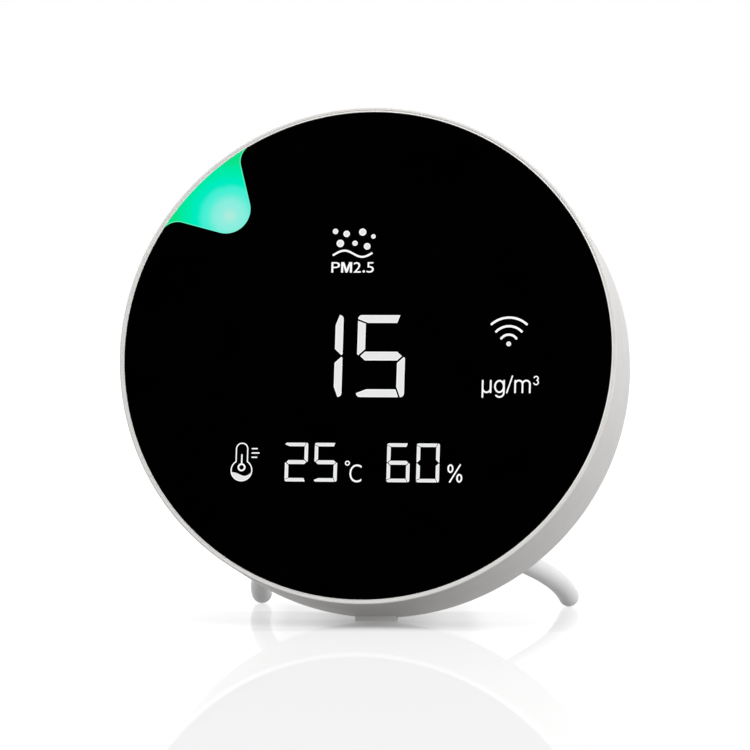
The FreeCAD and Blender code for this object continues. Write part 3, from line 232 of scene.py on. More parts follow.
def loft(shape, outline, stations):
    """Adds a solid that follows an outline through stations of (depth, growth, edge light)."""
    glow = edge_layer(shape)
    loops = []
    for depth, growth, *light in stations:
        loops.append([shape.verts.new((x, depth, z)) for x, z in grown(outline, growth)])
        for vertex in loops[-1]:
            vertex[glow] = light[0] if light else 0
    skin(shape, loops)


def turned(shape, profile, x=0, z=0, closed=False, steps=ROUND_STEPS):
    """Adds a solid turned about the drum's depth axis from (radius, depth) points."""
    loops = []
    for radius, depth in profile:
        loops.append([shape.verts.new((px, depth, pz)) for px, pz in disc(x, z, radius, steps)])
    skin(shape, loops, closed)


def rounded(corners, step=radians(15)):
    """A profile of (radius, depth, rounding) corners with each rounding drawn as an arc."""
    points = []
    for number, (radius, depth, rounding) in enumerate(corners):
        here = Vector((radius, depth))
        if not rounding:
            points.append(tuple(here))
            continue
        before = (Vector(corners[number - 1][:2]) - here).normalized()
        after = (Vector(corners[(number + 1) % len(corners)][:2]) - here).normalized()
        half = before.angle(after) / 2
        centre = here + (before + after).normalized() * rounding / sin(half)
        first = here + before * rounding / tan(half) - centre
        last = here + after * rounding / tan(half) - centre
        swing = first.angle_signed(last)
        count = max(2, ceil(abs(swing) / step))
        for part in range(count + 1):
            points.append(tuple(centre + Matrix.Rotation(-swing * part / count, 2) @ first))
    return points


def placed(name, data):
    """A new object in the scene."""
    item = bpy.data.objects.new(name, data)
    bpy.context.scene.collection.objects.link(item)
    return item


def as_mesh(name, shape):
    """A mesh made from a bmesh, which is used up."""
    mesh = bpy.data.meshes.new(name)
    shape.to_mesh(mesh)
    shape.free()
    return mesh


def add_piece(name, shape, body, surface, matrix=DRUM, replaces=(), sharp=35):
    """Turns a bmesh into a named piece that rides on a body, smooth except at sharp edges."""
    for edge in shape.edges:
        edge.smooth = len(edge.link_faces) == 2 and edge.calc_face_angle(0) < radians(sharp)
    for face in shape.faces:
        face.smooth = True
    mesh = as_mesh(name, shape)
    mesh.transform(matrix)
    mesh.materials.append(surface)
    piece = placed(name, mesh)
    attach(piece, body)
    if replaces:
        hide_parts(*replaces)


def combined(base, tool, operation):
    """A new bmesh: base with tool joined to it or cut from it. Both are used up."""
    holders = []
    for shape in (base, tool):
        holders.append(placed("working", as_mesh("working", shape)))
    change = holders[0].modifiers.new("change", "BOOLEAN")
    change.operation = operation
    change.solver = "EXACT"
    change.object = holders[1]
    result = holders[0].evaluated_get(bpy.context.evaluated_depsgraph_get())
    shape = bmesh.new()
    shape.from_mesh(result.to_mesh())
    for holder in holders:
        mesh = holder.data
        bpy.data.objects.remove(holder)
        bpy.data.meshes.remove(mesh)
    bmesh.ops.dissolve_degenerate(shape, dist=1e-4, edges=shape.edges)
    return shape


# ---- materials --------------------------------------------

def srgb(*levels):
    """Linear colour from display levels of 0 to 255."""
    linear = []
    for level in levels:
        share = level / 255
        linear.append(share / 12.92 if share <= 0.04045 else ((share + 0.055) / 1.055) ** 2.4)
    return (*linear, 1)


class Nodes:
    """A small helper that adds and joins shader nodes, in a new material or in the given world."""

    def __init__(self, name, world=None):
        self.owner = world or bpy.data.materials.new(name)
        self.owner.use_nodes = True
        self.tree = self.owner.node_tree
        self.tree.nodes.clear()
        self.out = self.add("OutputWorld" if world else "OutputMaterial")

    def plug(self, socket, value):
        """Joins a socket to another one, or gives it a plain value."""
        if isinstance(value, bpy.types.NodeSocket):
            self.tree.links.new(value, socket)
        else:
            socket.default_value = value

    def add(self, kind, **inputs):
        node = self.tree.nodes.new("ShaderNode" + kind)
        for key, value in inputs.items():
            self.plug(node.inputs[key.replace("_", " ")], value)
        return node

    def maths(self, operation, *values):
        node = self.add("Math")
        node.operation = operation
        for socket, value in zip(node.inputs, values):
            self.plug(socket, value)
        return node.outputs["Value"]

    def measure(self, operation, place, other):
        """A length or a product of two vectors."""
        node = self.add("VectorMath")
        node.operation = operation
        self.plug(node.inputs[0], place)
        self.plug(node.inputs[1], other)
        return node.outputs["Value"]

    def ramp(self, value, start, end, low=0, high=1, kind="SMOOTHSTEP"):
        node = self.add("MapRange", Value=value, From_Min=start, From_Max=end)
        self.plug(node.inputs["To Min"], low)
        self.plug(node.inputs["To Max"], high)
        node.interpolation_type = kind
        return node.outputs["Result"]

    def between(self, noise, low, high):
        """The middle of a noise's range spread from low to high."""
        return self.ramp(noise, 0.3, 0.7, low, high, "LINEAR")

    def place(self):
        return self.add("TexCoord").outputs["Object"]

    def noise(self, size, detail=3, stretch=None):
        """Noise whose features are about size millimetres across, stretched along the world's axes."""
        where = self.place()
        if stretch:
            where = self.add("Mapping", Vector=where, Scale=stretch).outputs["Vector"]
        scale = 1 / (size * MM)
        return self.add("TexNoise", Vector=where, Scale=scale, Detail=detail).outputs["Fac"]

    def cells(self, size):
        """Cells about size millimetres across."""
        return self.add("TexVoronoi", Vector=self.place(), Scale=1 / (size * MM))

    def mix(self, fac, first, second):
        node = self.add("Mix")
        node.data_type = "RGBA"
        for key, value in (("Factor_Float", fac), ("A_Color", first), ("B_Color", second)):
            self.plug([item for item in node.inputs if item.identifier == key][0], value)
        return [item for item in node.outputs if item.identifier == "Result_Color"][0]

    def join(self, kind, first, second, **inputs):
        """Mixes or adds two shaders."""
        node = self.add(kind, **inputs)
        self.plug(node.inputs[-2], first.outputs[0])
        self.plug(node.inputs[-1], second.outputs[0])
        return node

    def bump(self, height, depth):
        return self.add("Bump", Height=height, Distance=depth * MM, Strength=1.0).outputs["Normal"]

    def edge_light(self):
        """How bright the mesh is at each point: 1 at its bright edge."""
        node = self.add("Attribute")
        node.attribute_name = "edge"
        return node.outputs["Fac"]

    def finish(self, shader):
        self.plug(self.out.inputs["Surface"], shader.outputs[0])
        return self.owner

    def principled(self, **inputs):
        return self.finish(self.add("BsdfPrincipled", **inputs))

    def emission(self, colour, strength):
        return self.add("Emission", Color=colour, Strength=strength)


MOTTLE = 0.03


def shade(colour, factor):
    return (*[channel * factor for channel in colour[:3]], 1)


def moulded(name, colour, roughness=0.5, grain=0.22, depth=0.006, specular=0.4):
    """Moulded plastic or rubber: fine grain, with faint mottling in its colour and its sheen."""
    n = Nodes(name)
    broad = n.noise(9, 4)
    fine = n.noise(grain, 2)
    body = n.mix(n.between(broad, 0, 1), shade(colour, 1 - MOTTLE), shade(colour, 1 + MOTTLE))
    speck = n.mix(n.between(fine, 0, 1), shade(colour, 1 - MOTTLE / 2), shade(colour, 1 + MOTTLE / 2))
    blend = n.mix(0.4, body, speck)
    return n.principled(
        Base_Color=blend,
        Roughness=n.between(n.noise(3, 3), roughness - 0.05, roughness + 0.05),
        Specular_IOR_Level=specular,
        Normal=n.bump(fine, depth),
    )


def brushed(name, colour, roughness=0.3, stretch=(0.08, 1, 1)):
    """Drawn or brushed metal: long fine scratches and slight tarnish."""
    n = Nodes(name)
    scratches = n.noise(0.12, 3, stretch)
    tarnish = n.noise(2.5, 4)
    return n.principled(
        Base_Color=n.mix(n.between(tarnish, 0, 1), shade(colour, 0.88), colour),
        Roughness=n.between(scratches, roughness - 0.08, roughness + 0.1),
        Metallic=1.0,
        Normal=n.bump(scratches, 0.004),
    )


def cellular(name, colour, cell, depth, roughness=0.9):
    """Foam, woven screen or matt film: small cells with darker joins."""
    n = Nodes(name)
    cells = n.cells(cell)
    height = cells.outputs["Distance"]
    return n.principled(
        Base_Color=n.mix(n.between(height, 0, 1), colour, shade(colour, 0.6)),
        Roughness=n.between(n.noise(cell * 3, 2), roughness - 0.06, roughness + 0.06),
        Normal=n.bump(height, depth),
    )


def circuit(name, mask, copper):
    """A circuit board: solder mask over raised tracks, with tinned pads."""
    n = Nodes(name)
    tracks = n.cells(3.2)
    tracks.distance = "MANHATTAN"
    tracks.feature = "DISTANCE_TO_EDGE"
    line = n.maths("LESS_THAN", tracks.outputs["Distance"], 0.07)
    pads = n.cells(2.1)
    dot = n.maths("LESS_THAN", pads.outputs["Distance"], 0.16)
    layered = n.mix(line, mask, shade(mask, 1.7))
    return n.principled(
        Base_Color=n.mix(dot, layered, copper),
        Roughness=n.between(n.noise(1.2, 2), 0.3, 0.42),
        Metallic=dot,
        Normal=n.bump(line, 0.03),
    )


def black_glass(name):
    """Dark tinted lens: nearly black, smooth, with the faintest haze of handling."""
    n = Nodes(name)
    haze = n.noise(14, 5)
    return n.principled(
        Base_Color=n.mix(n.between(haze, 0, 1), (0.0001, 0.0001, 0.0001, 1), (0.0003, 0.0003, 0.0003, 1)),
        Roughness=n.between(haze, 0.035, 0.06),
        Specular_IOR_Level=0.32,
        Normal=n.bump(n.noise(6, 2), 0.0004),
    )


GLOW_CENTRE = (-31.4, 30.8)
GLOW_REACH = 16
GLOW_STOPS = (
    (0.0, srgb(172, 236, 222)),
    (0.16, srgb(140, 238, 222)),
    (0.36, srgb(70, 240, 212)),
    (0.47, srgb(0, 236, 194)),
    (0.62, srgb(0, 235, 168)),
    (0.8, srgb(12, 227, 136)),
)
# Paler mint of the line round the notch: a painted highlight where the glow lights the lens's bevelled edge.
GLOW_HIGHLIGHT = srgb(130, 250, 218)


def glow_window(name):
    """The diffusing window, lit from behind: mint over the lamps, turning to green at the mouth's corners."""
    n = Nodes(name)
    centre = DRUM @ Vector((GLOW_CENTRE[0], lens_front, GLOW_CENTRE[1]))
    share = n.maths("DIVIDE", n.measure("DISTANCE", n.place(), centre), GLOW_REACH * MM)
    cloud = n.maths("MULTIPLY", share, n.between(n.noise(2.5, 2), 0.985, 1.015))
    ramp = n.add("ValToRGB", Fac=cloud)
    ramp.color_ramp.interpolation = "EASE"
    stops = ramp.color_ramp.elements
    while len(stops) < len(GLOW_STOPS):
        stops.new(0.5)
    for stop, (position, colour) in zip(stops, GLOW_STOPS):
        stop.position = position
        stop.color = colour
    seen = n.maths("SUBTRACT", 1, n.add("LightPath").outputs["Is Diffuse Ray"])
    n.owner.cycles.emission_sampling = "NONE"
    return n.principled(
        Base_Color=(0, 0, 0, 1),
        Roughness=0.4,
        Specular_IOR_Level=0,
        # The paler line round the notch is a painted highlight of the glow on the lens's edge.
        Emission_Color=n.mix(n.edge_light(), ramp.outputs["Color"], GLOW_HIGHLIGHT),
        Emission_Strength=seen,
    )


def lit_ink(name, core=srgb(231, 232, 231), edge=srgb(253, 254, 253)):
    """White light through a cut-out in the lens's black print, a little brighter along its edges."""
    n = Nodes(name)
    colour = n.mix(n.edge_light(), core, edge)
    return n.finish(n.emission(colour, n.between(n.noise(1.5, 2), 0.985, 1.015)))


SHELL = moulded("shell_plastic", srgb(227, 225, 223), roughness=0.48, grain=0.3, depth=0.0012)
TRIM = moulded("trim_plastic", srgb(242, 241, 239), roughness=0.3, grain=0.3, depth=0.0004, specular=0.12)
STAND = moulded("stand_coating", srgb(247, 247, 248), roughness=0.4, grain=0.35, depth=0.008)
BUTTON = moulded("button_plastic", srgb(214, 213, 210), roughness=0.4, grain=0.3, depth=0.003)
SCREW = brushed("screw_steel", (0.55, 0.55, 0.56, 1))
LENS = black_glass("black_lens")
WINDOW = glow_window("glow_window")
INK = lit_ink("lit_symbols")


# ---- the drum ---------------------------------------------

BOSS_PITCH = 47
BOSS_PLACES = ((BOSS_PITCH, 0), (0, BOSS_PITCH), (-BOSS_PITCH, 0), (0, -BOSS_PITCH))
MAIN_POSTS = ((-30, -10), (30, -10), (-22, -32), (22, -32))
EAR_POSTS = ((-24.8, 20), (24.8, 20))
VENT_ROWS = 7
VENT_PITCH = 3.2
VENT_FOOT = 15.2
VENT_RADIUS = 0.8
VENT_ENDS = (4.2, 18.4)
CLIMATE_ENDS = (32.8, 37.2)
CLIMATE_HEIGHT = 15.5
CLIMATE_PITCH = 2.4
CLIMATE_RADIUS = 0.6
PORT_HEIGHT = -10
PORT_X = -9
PORT_HALF = 2.85
PORT_RADIUS = 1.8
BUTTON_X = 13
BUTTON_RADIUS = 4
BUTTON_PLAY = 0.08
HINGE_Z = -32.2
HINGE_SCREWS = 5
HINGE_PLACES = ((0, HINGE_Z - HINGE_SCREWS), (0, HINGE_Z + HINGE_SCREWS))
# Each kind of post: its places, its radius and the depth of its front end.
POSTS = (
    (BOSS_PLACES, 3.2, 14.05),
    (MAIN_POSTS, 2.5, 18.1),
    (EAR_POSTS, 2.3, 22),
    (HINGE_PLACES, 2.5, 23.3),
)
POST_ROOT = 0.1
BACK_INSET = 6
INNER_ROUND = 0.6
HEAD_BORE = 2.4
HEAD_SEAT = 18
SHANK_BORE = 1.1
SHANK_BORE_TIP = 13
PAD_SEAT = 0.7
PAD_PLAY = 0.05
RIM_BORE = 53.3
SHELF_FRONT = 2.4
SHELF_BACK = 3.6
SCREW_HEAD = 1.9
SCREW_SHANK = 0.8
SCREW_TALL = 0.8
CORE = 0.15


def shell_cup():
    """The side wall and back, turned in one piece with a rounded lip and back edge."""
    shape = bmesh.new()
    turned(shape, rounded([
        (drum_radius - BACK_INSET, drum_depth, 0),
        (drum_radius, drum_depth, BACK_ROUND),
        (drum_radius, 0, LIP_ROUND),
        (lip_bore, 0, LIP_INNER_ROUND),
        (lip_bore, LIP_DEPTH, 0),
        (shell_bore, LIP_DEPTH, 0),
        (shell_bore, inner_back, INNER_ROUND),
        (shell_bore - BACK_INSET, inner_back, 0),
    ]))
    return shape


def shell_posts():
    """Screw bosses and board posts, standing on the inside of the back."""
    shape = bmesh.new()
    for places, radius, front in POSTS:
        for x, z in places:
            turned(shape, [(radius, front), (radius, inner_back + POST_ROOT)], x, z, steps=32)
    return shape


def shell_cuts():
    """Vents, port, button hole and screw bores, with small chamfers outside."""
    shape = bmesh.new()

    def through(outline, chamfer=CHAMFER, start=inner_back - 1):
        beyond = 1
        loft(shape, outline, [
            (start, 0),
            (drum_depth - chamfer, 0),
            (drum_depth + beyond, chamfer + beyond),
        ])

    for row in range(VENT_ROWS):
        height = VENT_FOOT + VENT_PITCH * row
        near, far = VENT_ENDS
        through(stadium(-far, -near, height, VENT_RADIUS))
        through(stadium(near, far, height, VENT_RADIUS))
    for row in (-1, 0, 1):
        through(stadium(*CLIMATE_ENDS, CLIMATE_HEIGHT + CLIMATE_PITCH * row, CLIMATE_RADIUS), 0.15)
    through(stadium(PORT_X - PORT_HALF, PORT_X + PORT_HALF, PORT_HEIGHT, PORT_RADIUS), 0.3)
    through(disc(BUTTON_X, PORT_HEIGHT, BUTTON_RADIUS + BUTTON_PLAY, 64), 0.2)
    for x, z in BOSS_PLACES:
        through(disc(x, z, HEAD_BORE, 40), 0.2, HEAD_SEAT)
        loft(shape, disc(x, z, SHANK_BORE, 24), [(SHANK_BORE_TIP, 0), (HEAD_SEAT + 0.5, 0)])
    return shape


def seat_cut():
    """The square-cornered seat of the base pad, in the underside of the wall."""
    low, high = span("base_pad", BACK)
    half = span("base_pad", RIGHT)[1] + PAD_PLAY
    shape = bmesh.new()
    foot, top = -drum_radius - 2, -drum_radius + PAD_SEAT
    outline = [(-half, foot), (half, foot), (half, top), (-half, top)]
    loft(shape, outline, [(low - PAD_PLAY, 0), (high + PAD_PLAY, 0)])
    return shape


def make_shell():
    shape = combined(shell_cup(), shell_posts(), "UNION")
    shape = combined(shape, shell_cuts(), "DIFFERENCE")
    shape = combined(shape, seat_cut(), "DIFFERENCE")
    add_piece("shell", shape, "housing", SHELL, replaces=["rear_shell"])


def make_trim():
    """The bevelled rim that holds the lens, with its shelf behind."""
    shape = bmesh.new()
    bore = lens_radius + LENS_GAP
    turned(shape, rounded([
        (bore, trim_front - TRIM_SLOPE / 2, TRIM_SOFT),
        (trim_radius, trim_front + TRIM_SLOPE / 2, TRIM_BEVEL),
        (trim_radius, SHELF_BACK, 0),
        (RIM_BORE, SHELF_BACK, 0),
        (RIM_BORE, SHELF_FRONT, 0),
        (bore, SHELF_FRONT, 0),
    ]), closed=True)
    add_piece("trim_ring", shape, "housing", TRIM, replaces=["front_frame"])


def make_lens():
    edge = notch_edge(0, lens_radius)
    outline = edge + rim_arc(edge[-1], edge[0], lens_radius, True)
    shape = bmesh.new()
    stations = [(lens_back, 0)]
    for number in range(4):
        swing = radians(30 * number)
        depth = lens_front + LENS_ROUND * (1 - sin(swing))
        stations.append((depth, LENS_ROUND * (cos(swing) - 1)))
    loft(shape, outline, stations)
    add_piece("lens", shape, "housing", LENS, replaces=["front_lens"])


def make_window():
    """The glow window: the light guide's front, with a fine raised line round the notch that glows paler, a
    painted highlight where the glow lights the lens's bevelled edge.
    """
    rim = lens_radius + LENS_GAP * 0.8
    edge = notch_edge(-WINDOW_PLAY, rim)
    outline = edge + rim_arc(edge[-1], edge[0], rim, False)
    shape = bmesh.new()
    loft(shape, outline, [(guide_back, 0), (lens_front, 0)])
    line = notch_edge(-WINDOW_PLAY - NOTCH_LINE / 2, lens_radius - 0.1)
    loft(shape, ribbon(line, NOTCH_LINE), [(lens_front + 0.05, 0, 1), (lens_front - 0.02, 0, 1)])
    add_piece("glow_window", shape, "housing", WINDOW, replaces=["light_guide"])


# ---- the display's lit symbols ----------------------------

INK_PROUD = 0.02
INK_SUNK = 0.02
INK_SHIFT = Vector((-0.1, 0, 0.09))
ink_front = lens_front - INK_PROUD
ink_back = lens_front + INK_SUNK


def symbol(shape, outline, soft=0.0):
    """One lit shape; soft is the width of its brighter edge. Without one it is bright all over."""
    stations = [(ink_back, 0, 1), (ink_front, 0, 1)]
    if soft:
        stations.append((ink_front, -soft, 0))
    loft(shape, outline, stations)


def band(shape, outer, inner):
    """A lit ring between two outlines of as many points."""
    glow = edge_layer(shape)
    loops = []
    for outline, depth in ((outer, ink_back), (outer, ink_front), (inner, ink_front), (inner, ink_back)):
        loops.append([shape.verts.new((x, depth, z)) for x, z in outline])
        for vertex in loops[-1]:
            vertex[glow] = 1
    skin(shape, loops, closed=True)


def oval(x, z, half_width, half_height, count):
    return [(x + px * half_width, z + pz * half_height) for px, pz in disc(0, 0, 1, count)]


def lit_ring(shape, x, z, half_width, half_height, stroke, count=40):
    inner = oval(x, z, half_width - stroke, half_height - stroke, count)
    band(shape, oval(x, z, half_width, half_height, count), inner)


LIT_SEGMENTS = {"0": "abcdef", "1": "bc", "2": "abged", "5": "afgcd", "6": "afgedc"}


def digit(shape, number, left, foot, width, height, stroke, gap, soft):
    """A seven-segment digit. Each outer corner belongs whole to one segment, past a steep mitre."""
    middle = (height + stroke * 0.04) / 2
    mitre = stroke * 0.62
    corner = stroke * 0.5
    half = gap / 2
    corner_rise = (half + stroke - mitre) * stroke / (stroke - mitre)
    lean = stroke * 0.08

    def upper(kind):
        """A segment of the upper half, measured right from the digit's left edge and up from its middle."""
        top = height - middle
        inner = mitre + half * 1.1
        if kind == "a":
            return (
                [(corner_rise, top - stroke), (width - stroke - half, top - stroke), (width - inner, top)]
                + arc(corner, top - corner, corner, pi / 2, pi * 0.94, radians(15))
                + [(0.02 * stroke, top - mitre + half)]
            )
        if kind == "b":
            outer = arc(width - corner, top - corner, corner, 0, pi / 2, radians(15))
            return (
                [(width - stroke, stroke * 0.9), (width - lean * 2, half), (width, lean * 3)]
                + outer
                + [(width - mitre + half, top), (width - stroke, top - corner_rise)]
            )
        return [
            (lean * 2, half), (stroke, stroke * 0.9), (stroke, top - stroke - half),
            (0, top - mitre - half), (0, lean * 3),
        ]

    def flipped(outline):
        return [(x, -z) for x, z in outline[::-1]]

    tip, thick = stroke * 0.4, stroke * 0.56
    shapes = {
        "a": upper("a"), "b": upper("b"), "f": upper("f"),
        "c": flipped(upper("b")), "d": flipped(upper("a")), "e": flipped(upper("f")),
        "g": [
            (tip, 0), (tip + thick * 1.1, -thick), (width - tip - thick * 1.1, -thick),
            (width - tip, 0), (width - tip - thick * 1.1, thick), (tip + thick * 1.1, thick),
        ],
    }
    for segment in LIT_SEGMENTS[number]:
        outline = [(left + x, foot + middle + z) for x, z in shapes[segment]]
        symbol(shape, outline, soft)


BIG = dict(foot=-9.66, width=10.6, height=18.2, stroke=1.72, gap=0.4, soft=0.3)
BIG_LEFTS = (-15.75, -1.92)
SMALL = dict(foot=-28.31, width=5.03, height=8.56, stroke=0.76, gap=0.14, soft=0.16)
WARM_LEFTS = (-17.16, -10.64)
DAMP_LEFTS = (5.36, 11.89)


def add_dust_icon(shape):
    dots = (
        (-7.55, 27.2, 0.65), (-5.06, 26.65, 0.76), (-1.5, 27.04, 0.85), (0.91, 26.07, 0.54),
        (-6.41, 24.52, 0.87), (-3.14, 24.56, 0.63), (-0.42, 23.86, 0.78),
    )
    for x, z, radius in dots:
        symbol(shape, disc(x, z - 0.03, radius - 0.04, 32), radius * 0.4)
    start, end, steps = -7.85, 0.65, 40
    wave = []
    for number in range(steps + 1):
        share = number / steps
        height = 22.19 + 0.72 * sin(tau * (share * 1.06 - 0.05)) + 0.1 * (share - 0.5)
        wave.append((start + (end - start) * share, height))
    symbol(shape, ribbon(wave, 0.44))


def add_signal_icon(shape):
    x, z = 31.47, 2.26
    symbol(shape, disc(x, z, 0.53, 32), 0.2)
    for radius, spread in ((2.03, 54), (3.9, 46), (5.8, 41.6)):
        ends = radians(90 - spread), radians(90 + spread)
        symbol(shape, ribbon(arc(x, z, radius, *ends), 0.5))


def add_thermometer(shape):
    bulb_x, bulb_z, bulb_radius, tube_half, line = -26.78, -25.92, 2.42, 1.38, 0.25
    top = -19.81 - tube_half

    def keyhole(inset):
        half, radius = tube_half - inset, bulb_radius - inset
        join = asin(half / radius)
        swing = tau - 2 * join
        start = pi / 2 + join
        bulb = arc(bulb_x, bulb_z, radius, start, start + swing, swing / 60 * 1.0001)
        return bulb + arc(bulb_x, top, half, 0, pi, radians(10))

    band(shape, keyhole(0), keyhole(line))
    ring_z = -25.25
    lit_ring(shape, bulb_x, ring_z, 0.88, 0.88, 0.36, 36)
    symbol(shape, ribbon([(bulb_x, ring_z + 0.95), (bulb_x, -22.5)], 0.3))
    inner = bulb_radius - line - 0.02
    start, end = radians(191), radians(344)
    pool = arc(bulb_x, bulb_z, inner, start, end, radians(5))
    (x0, z0), (x1, z1) = pool[0], pool[-1]
    steps = 14
    for number in range(1, steps):
        share = number / steps
        ripple = 0.25 * sin(tau * share) + 0.55 * sin(pi * share)
        pool.append((x1 + (x0 - x1) * share, z1 + (z0 - z1) * share - ripple))
    loft(shape, pool, [(ink_back, 0, 0), (ink_front, 0, 0)])
    for row, length in enumerate((1.38, 1.83, 1.33)):
        z = -21.12 - 0.95 * row
        symbol(shape, stadium(-24.52, -24.82 + length, z, 0.14))


def add_lettering(shape, words, x0, x1, z0, z1, weight):
    """Plain sans lettering, scaled to fit a box on the face."""
    curve = bpy.data.curves.new("words", "FONT")
    curve.body = words
    curve.offset = weight
    curve.resolution_u = 6
    holder = placed("words", curve)
    evaluated = holder.evaluated_get(bpy.context.evaluated_depsgraph_get())
    flat = bmesh.new()
    flat.from_mesh(evaluated.to_mesh())
    bpy.data.objects.remove(holder)
    bmesh.ops.remove_doubles(flat, verts=flat.verts, dist=1e-5)
    xs = [vertex.co.x for vertex in flat.verts]
    ys = [vertex.co.y for vertex in flat.verts]
    low, high = (min(xs), min(ys)), (max(xs), max(ys))
    made = bmesh.ops.extrude_face_region(flat, geom=flat.faces[:])
    raised = {item for item in made["geom"] if isinstance(item, bmesh.types.BMVert)}
    for vertex in flat.verts:
        x = x0 + (vertex.co.x - low[0]) / (high[0] - low[0]) * (x1 - x0)
        z = z0 + (vertex.co.y - low[1]) / (high[1] - low[1]) * (z1 - z0)
        depth = ink_front if vertex in raised else ink_back
        vertex.co = (x, depth, z)
    glow = edge_layer(flat)
    for vertex in flat.verts:
        vertex[glow] = 1
    bmesh.ops.recalc_face_normals(flat, faces=flat.faces)
    mesh = as_mesh("words", flat)
    shape.from_mesh(mesh)
    bpy.data.meshes.remove(mesh)


def add_dust_label(shape):
    """The label PM2.5, each character in its own space on one line."""
    foot, top = 17.98, 20.31
    for letter, left, right in (("P", -8.22, -6.33), ("2", -3.3, -1.65), ("5", -0.4, 1.2)):
        add_lettering(shape, letter, left, right, foot, top, 0)
    symbol(shape, disc(-1.01, foot + 0.28, 0.27, 24))
    left, width, height, stem, slant = -6.05, 2.42, top - foot, 0.46, 0.2
    half = [(0, 0), (stem, 0), (stem, height * 0.68), (width / 2 - slant, 0)]
    crown = [(0, height), (stem * 1.45, height), (width / 2, height * 0.34)]
    mirrored = [(width - x, z) for x, z in half[::-1] + crown[:2]]
    outline = half + mirrored + crown[::-1]
    symbol(shape, [(left + x, foot + z) for x, z in outline])


def add_unit(shape):
    """Micrograms per cubic metre, with an open-tailed g."""
    foot, top, stroke = -8.6, -5.68, 0.37
    low, high = foot + stroke / 2, top - stroke / 2

    def stroke_along(*points, width=stroke):
        symbol(shape, ribbon(points, width))

    left, right = 26.02, 27.78
    cup = arc((left + right) / 2, low + 0.87, 0.87, -pi, 0, radians(10))
    stroke_along((left, high), (left, -9.45))
    stroke_along((left, low + 1.5), *cup, (right, high))
    stroke_along((right, high), (right, low))
    lit_ring(shape, 29.7, -7.13, 1.15, 1.44, stroke)
    hook = arc(29.75, foot + 0.1, 0.95, 0, -radians(140), radians(10))
    stroke_along((30.7, high), *hook)
    stroke_along((31.34, -8.5), (32.5, -4.85), width=0.3)
    for first in (33.15, 34.76):
        arch = arc(first + 0.805, high - 0.75, 0.805, pi * 0.95, 0, radians(10))
        stroke_along(*arch, (first + 1.61, low))
    stroke_along((33.15, high), (33.15, low))
    curl = arc(37.7, -5.32, 0.44, radians(160), -radians(80), radians(15))
    curl += arc(37.7, -6.2, 0.5, radians(80), -radians(160), radians(15))
    stroke_along(*curl, width=0.26)


def add_percent(shape):
    for x, z in ((19.38, -25.23), (21.36, -27.33)):
        lit_ring(shape, x, z, 0.67, 0.96, 0.36)
    symbol(shape, ribbon([(19.28, -28.15), (21.5, -24.4)], 0.32))


def make_symbols():
    """Readings and plain symbols, each group its own piece on the lens."""

    def piece(name, *drawings, across=0.0):
        shape = bmesh.new()
        edge_layer(shape)
        for draw in drawings:
            draw(shape)
        place = Matrix.Translation(INK_SHIFT + RIGHT * across)
        add_piece(name, shape, "housing", INK, DRUM @ place)

    def digits(text, lefts, size):
        def draw(shape):
            for number, left in zip(text, lefts):
                digit(shape, number, left, **size)
        return draw

    def words(*box):
        return lambda shape: add_lettering(shape, *box)

    def degree(shape):
        lit_ring(shape, -3.34, -24.18, 0.55, 0.55, 0.26, 32)

    piece("reading_dust", digits("15", BIG_LEFTS, BIG))
    piece("reading_temperature", digits("25", WARM_LEFTS, SMALL))
    piece("reading_humidity", digits("60", DAMP_LEFTS, SMALL))
    piece("symbol_dust", add_dust_icon, add_dust_label)
    piece("symbol_signal", add_signal_icon, across=-0.04)
    piece("symbol_unit", add_unit, across=-0.065)
    piece("symbol_temperature", add_thermometer)
    piece("symbol_degrees", degree, words("C", -2.82, -0.16, -28.38, -24.44, -0.01))
    piece("symbol_percent", add_percent)


# ---- the stand and button ---------------------------------

WIRE_RADIUS = 2.35
BAR_HALF = 7
TIGHT_BEND = 8.6
WIDE_BEND = 36.3
LEG_HEADING = 33.1
FOOT_HEADING = 3
FOOT_X = 36.05
WIRE_STEPS = 40
WIRE_CAP_STEPS = 9


def wire_line(reach):
    """The right half of the wire's centre line, in its own plane, from the middle of the bar to the foot."""
    heading, foot_heading = radians(LEG_HEADING), radians(FOOT_HEADING)
    line = [(0, 0), (BAR_HALF / 2, 0)]
    line += arc(BAR_HALF, TIGHT_BEND, TIGHT_BEND, -pi / 2, -heading, radians(3))
    centre_x = FOOT_X - WIDE_BEND * cos(foot_heading)
    centre_y = reach + WIDE_BEND * sin(foot_heading)
    line += arc(centre_x, centre_y, WIDE_BEND, -heading, -foot_heading, radians(1))
    return line


def make_stand():
    """A bent wire swept along its centre line, with ball ends."""
    hinge = Vector(JOINTS["stand_fold"]["pos_m"]) / MM
    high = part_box("stand_rod")[1]
    foot_y = high.y / MM - WIRE_RADIUS
    drop = hinge.z - WIRE_RADIUS
    along = Vector((0, foot_y - hinge.y, -drop))
    reach = along.length
    along.normalize()
    line = wire_line(reach)
    line = [(-x, y) for x, y in line[:0:-1]] + line
    across = along.cross(RIGHT)
    shape = bmesh.new()
    loops = []
    for number, (x, y) in enumerate(line):
        here = hinge + RIGHT * x + along * y
        x0, y0 = line[max(number - 1, 0)]
        x1, y1 = line[min(number + 1, len(line) - 1)]
        ahead = (RIGHT * (x1 - x0) + along * (y1 - y0)).normalized()
        loops.append((here, ahead, WIRE_RADIUS))
    for end, way in ((0, -1), (-1, 1)):
        here, ahead, radius = loops[end]
        cap = []
        for part in range(1, WIRE_CAP_STEPS):
            swing = pi / 2 * part / WIRE_CAP_STEPS
            cap.append((here + ahead * way * radius * sin(swing), ahead, radius * cos(swing)))
        loops = cap[::-1] + loops if end == 0 else loops + cap
    rings = []
    for here, ahead, radius in loops:
        side = across.cross(ahead)
        turn = disc(0, 0, radius, WIRE_STEPS)
        rings.append([shape.verts.new(here + across * near + side * far) for near, far in turn])
    skin(shape, rings)
    add_piece("stand_wire", shape, "stand", STAND, Matrix.Scale(MM, 4), ["stand_rod"], sharp=60)


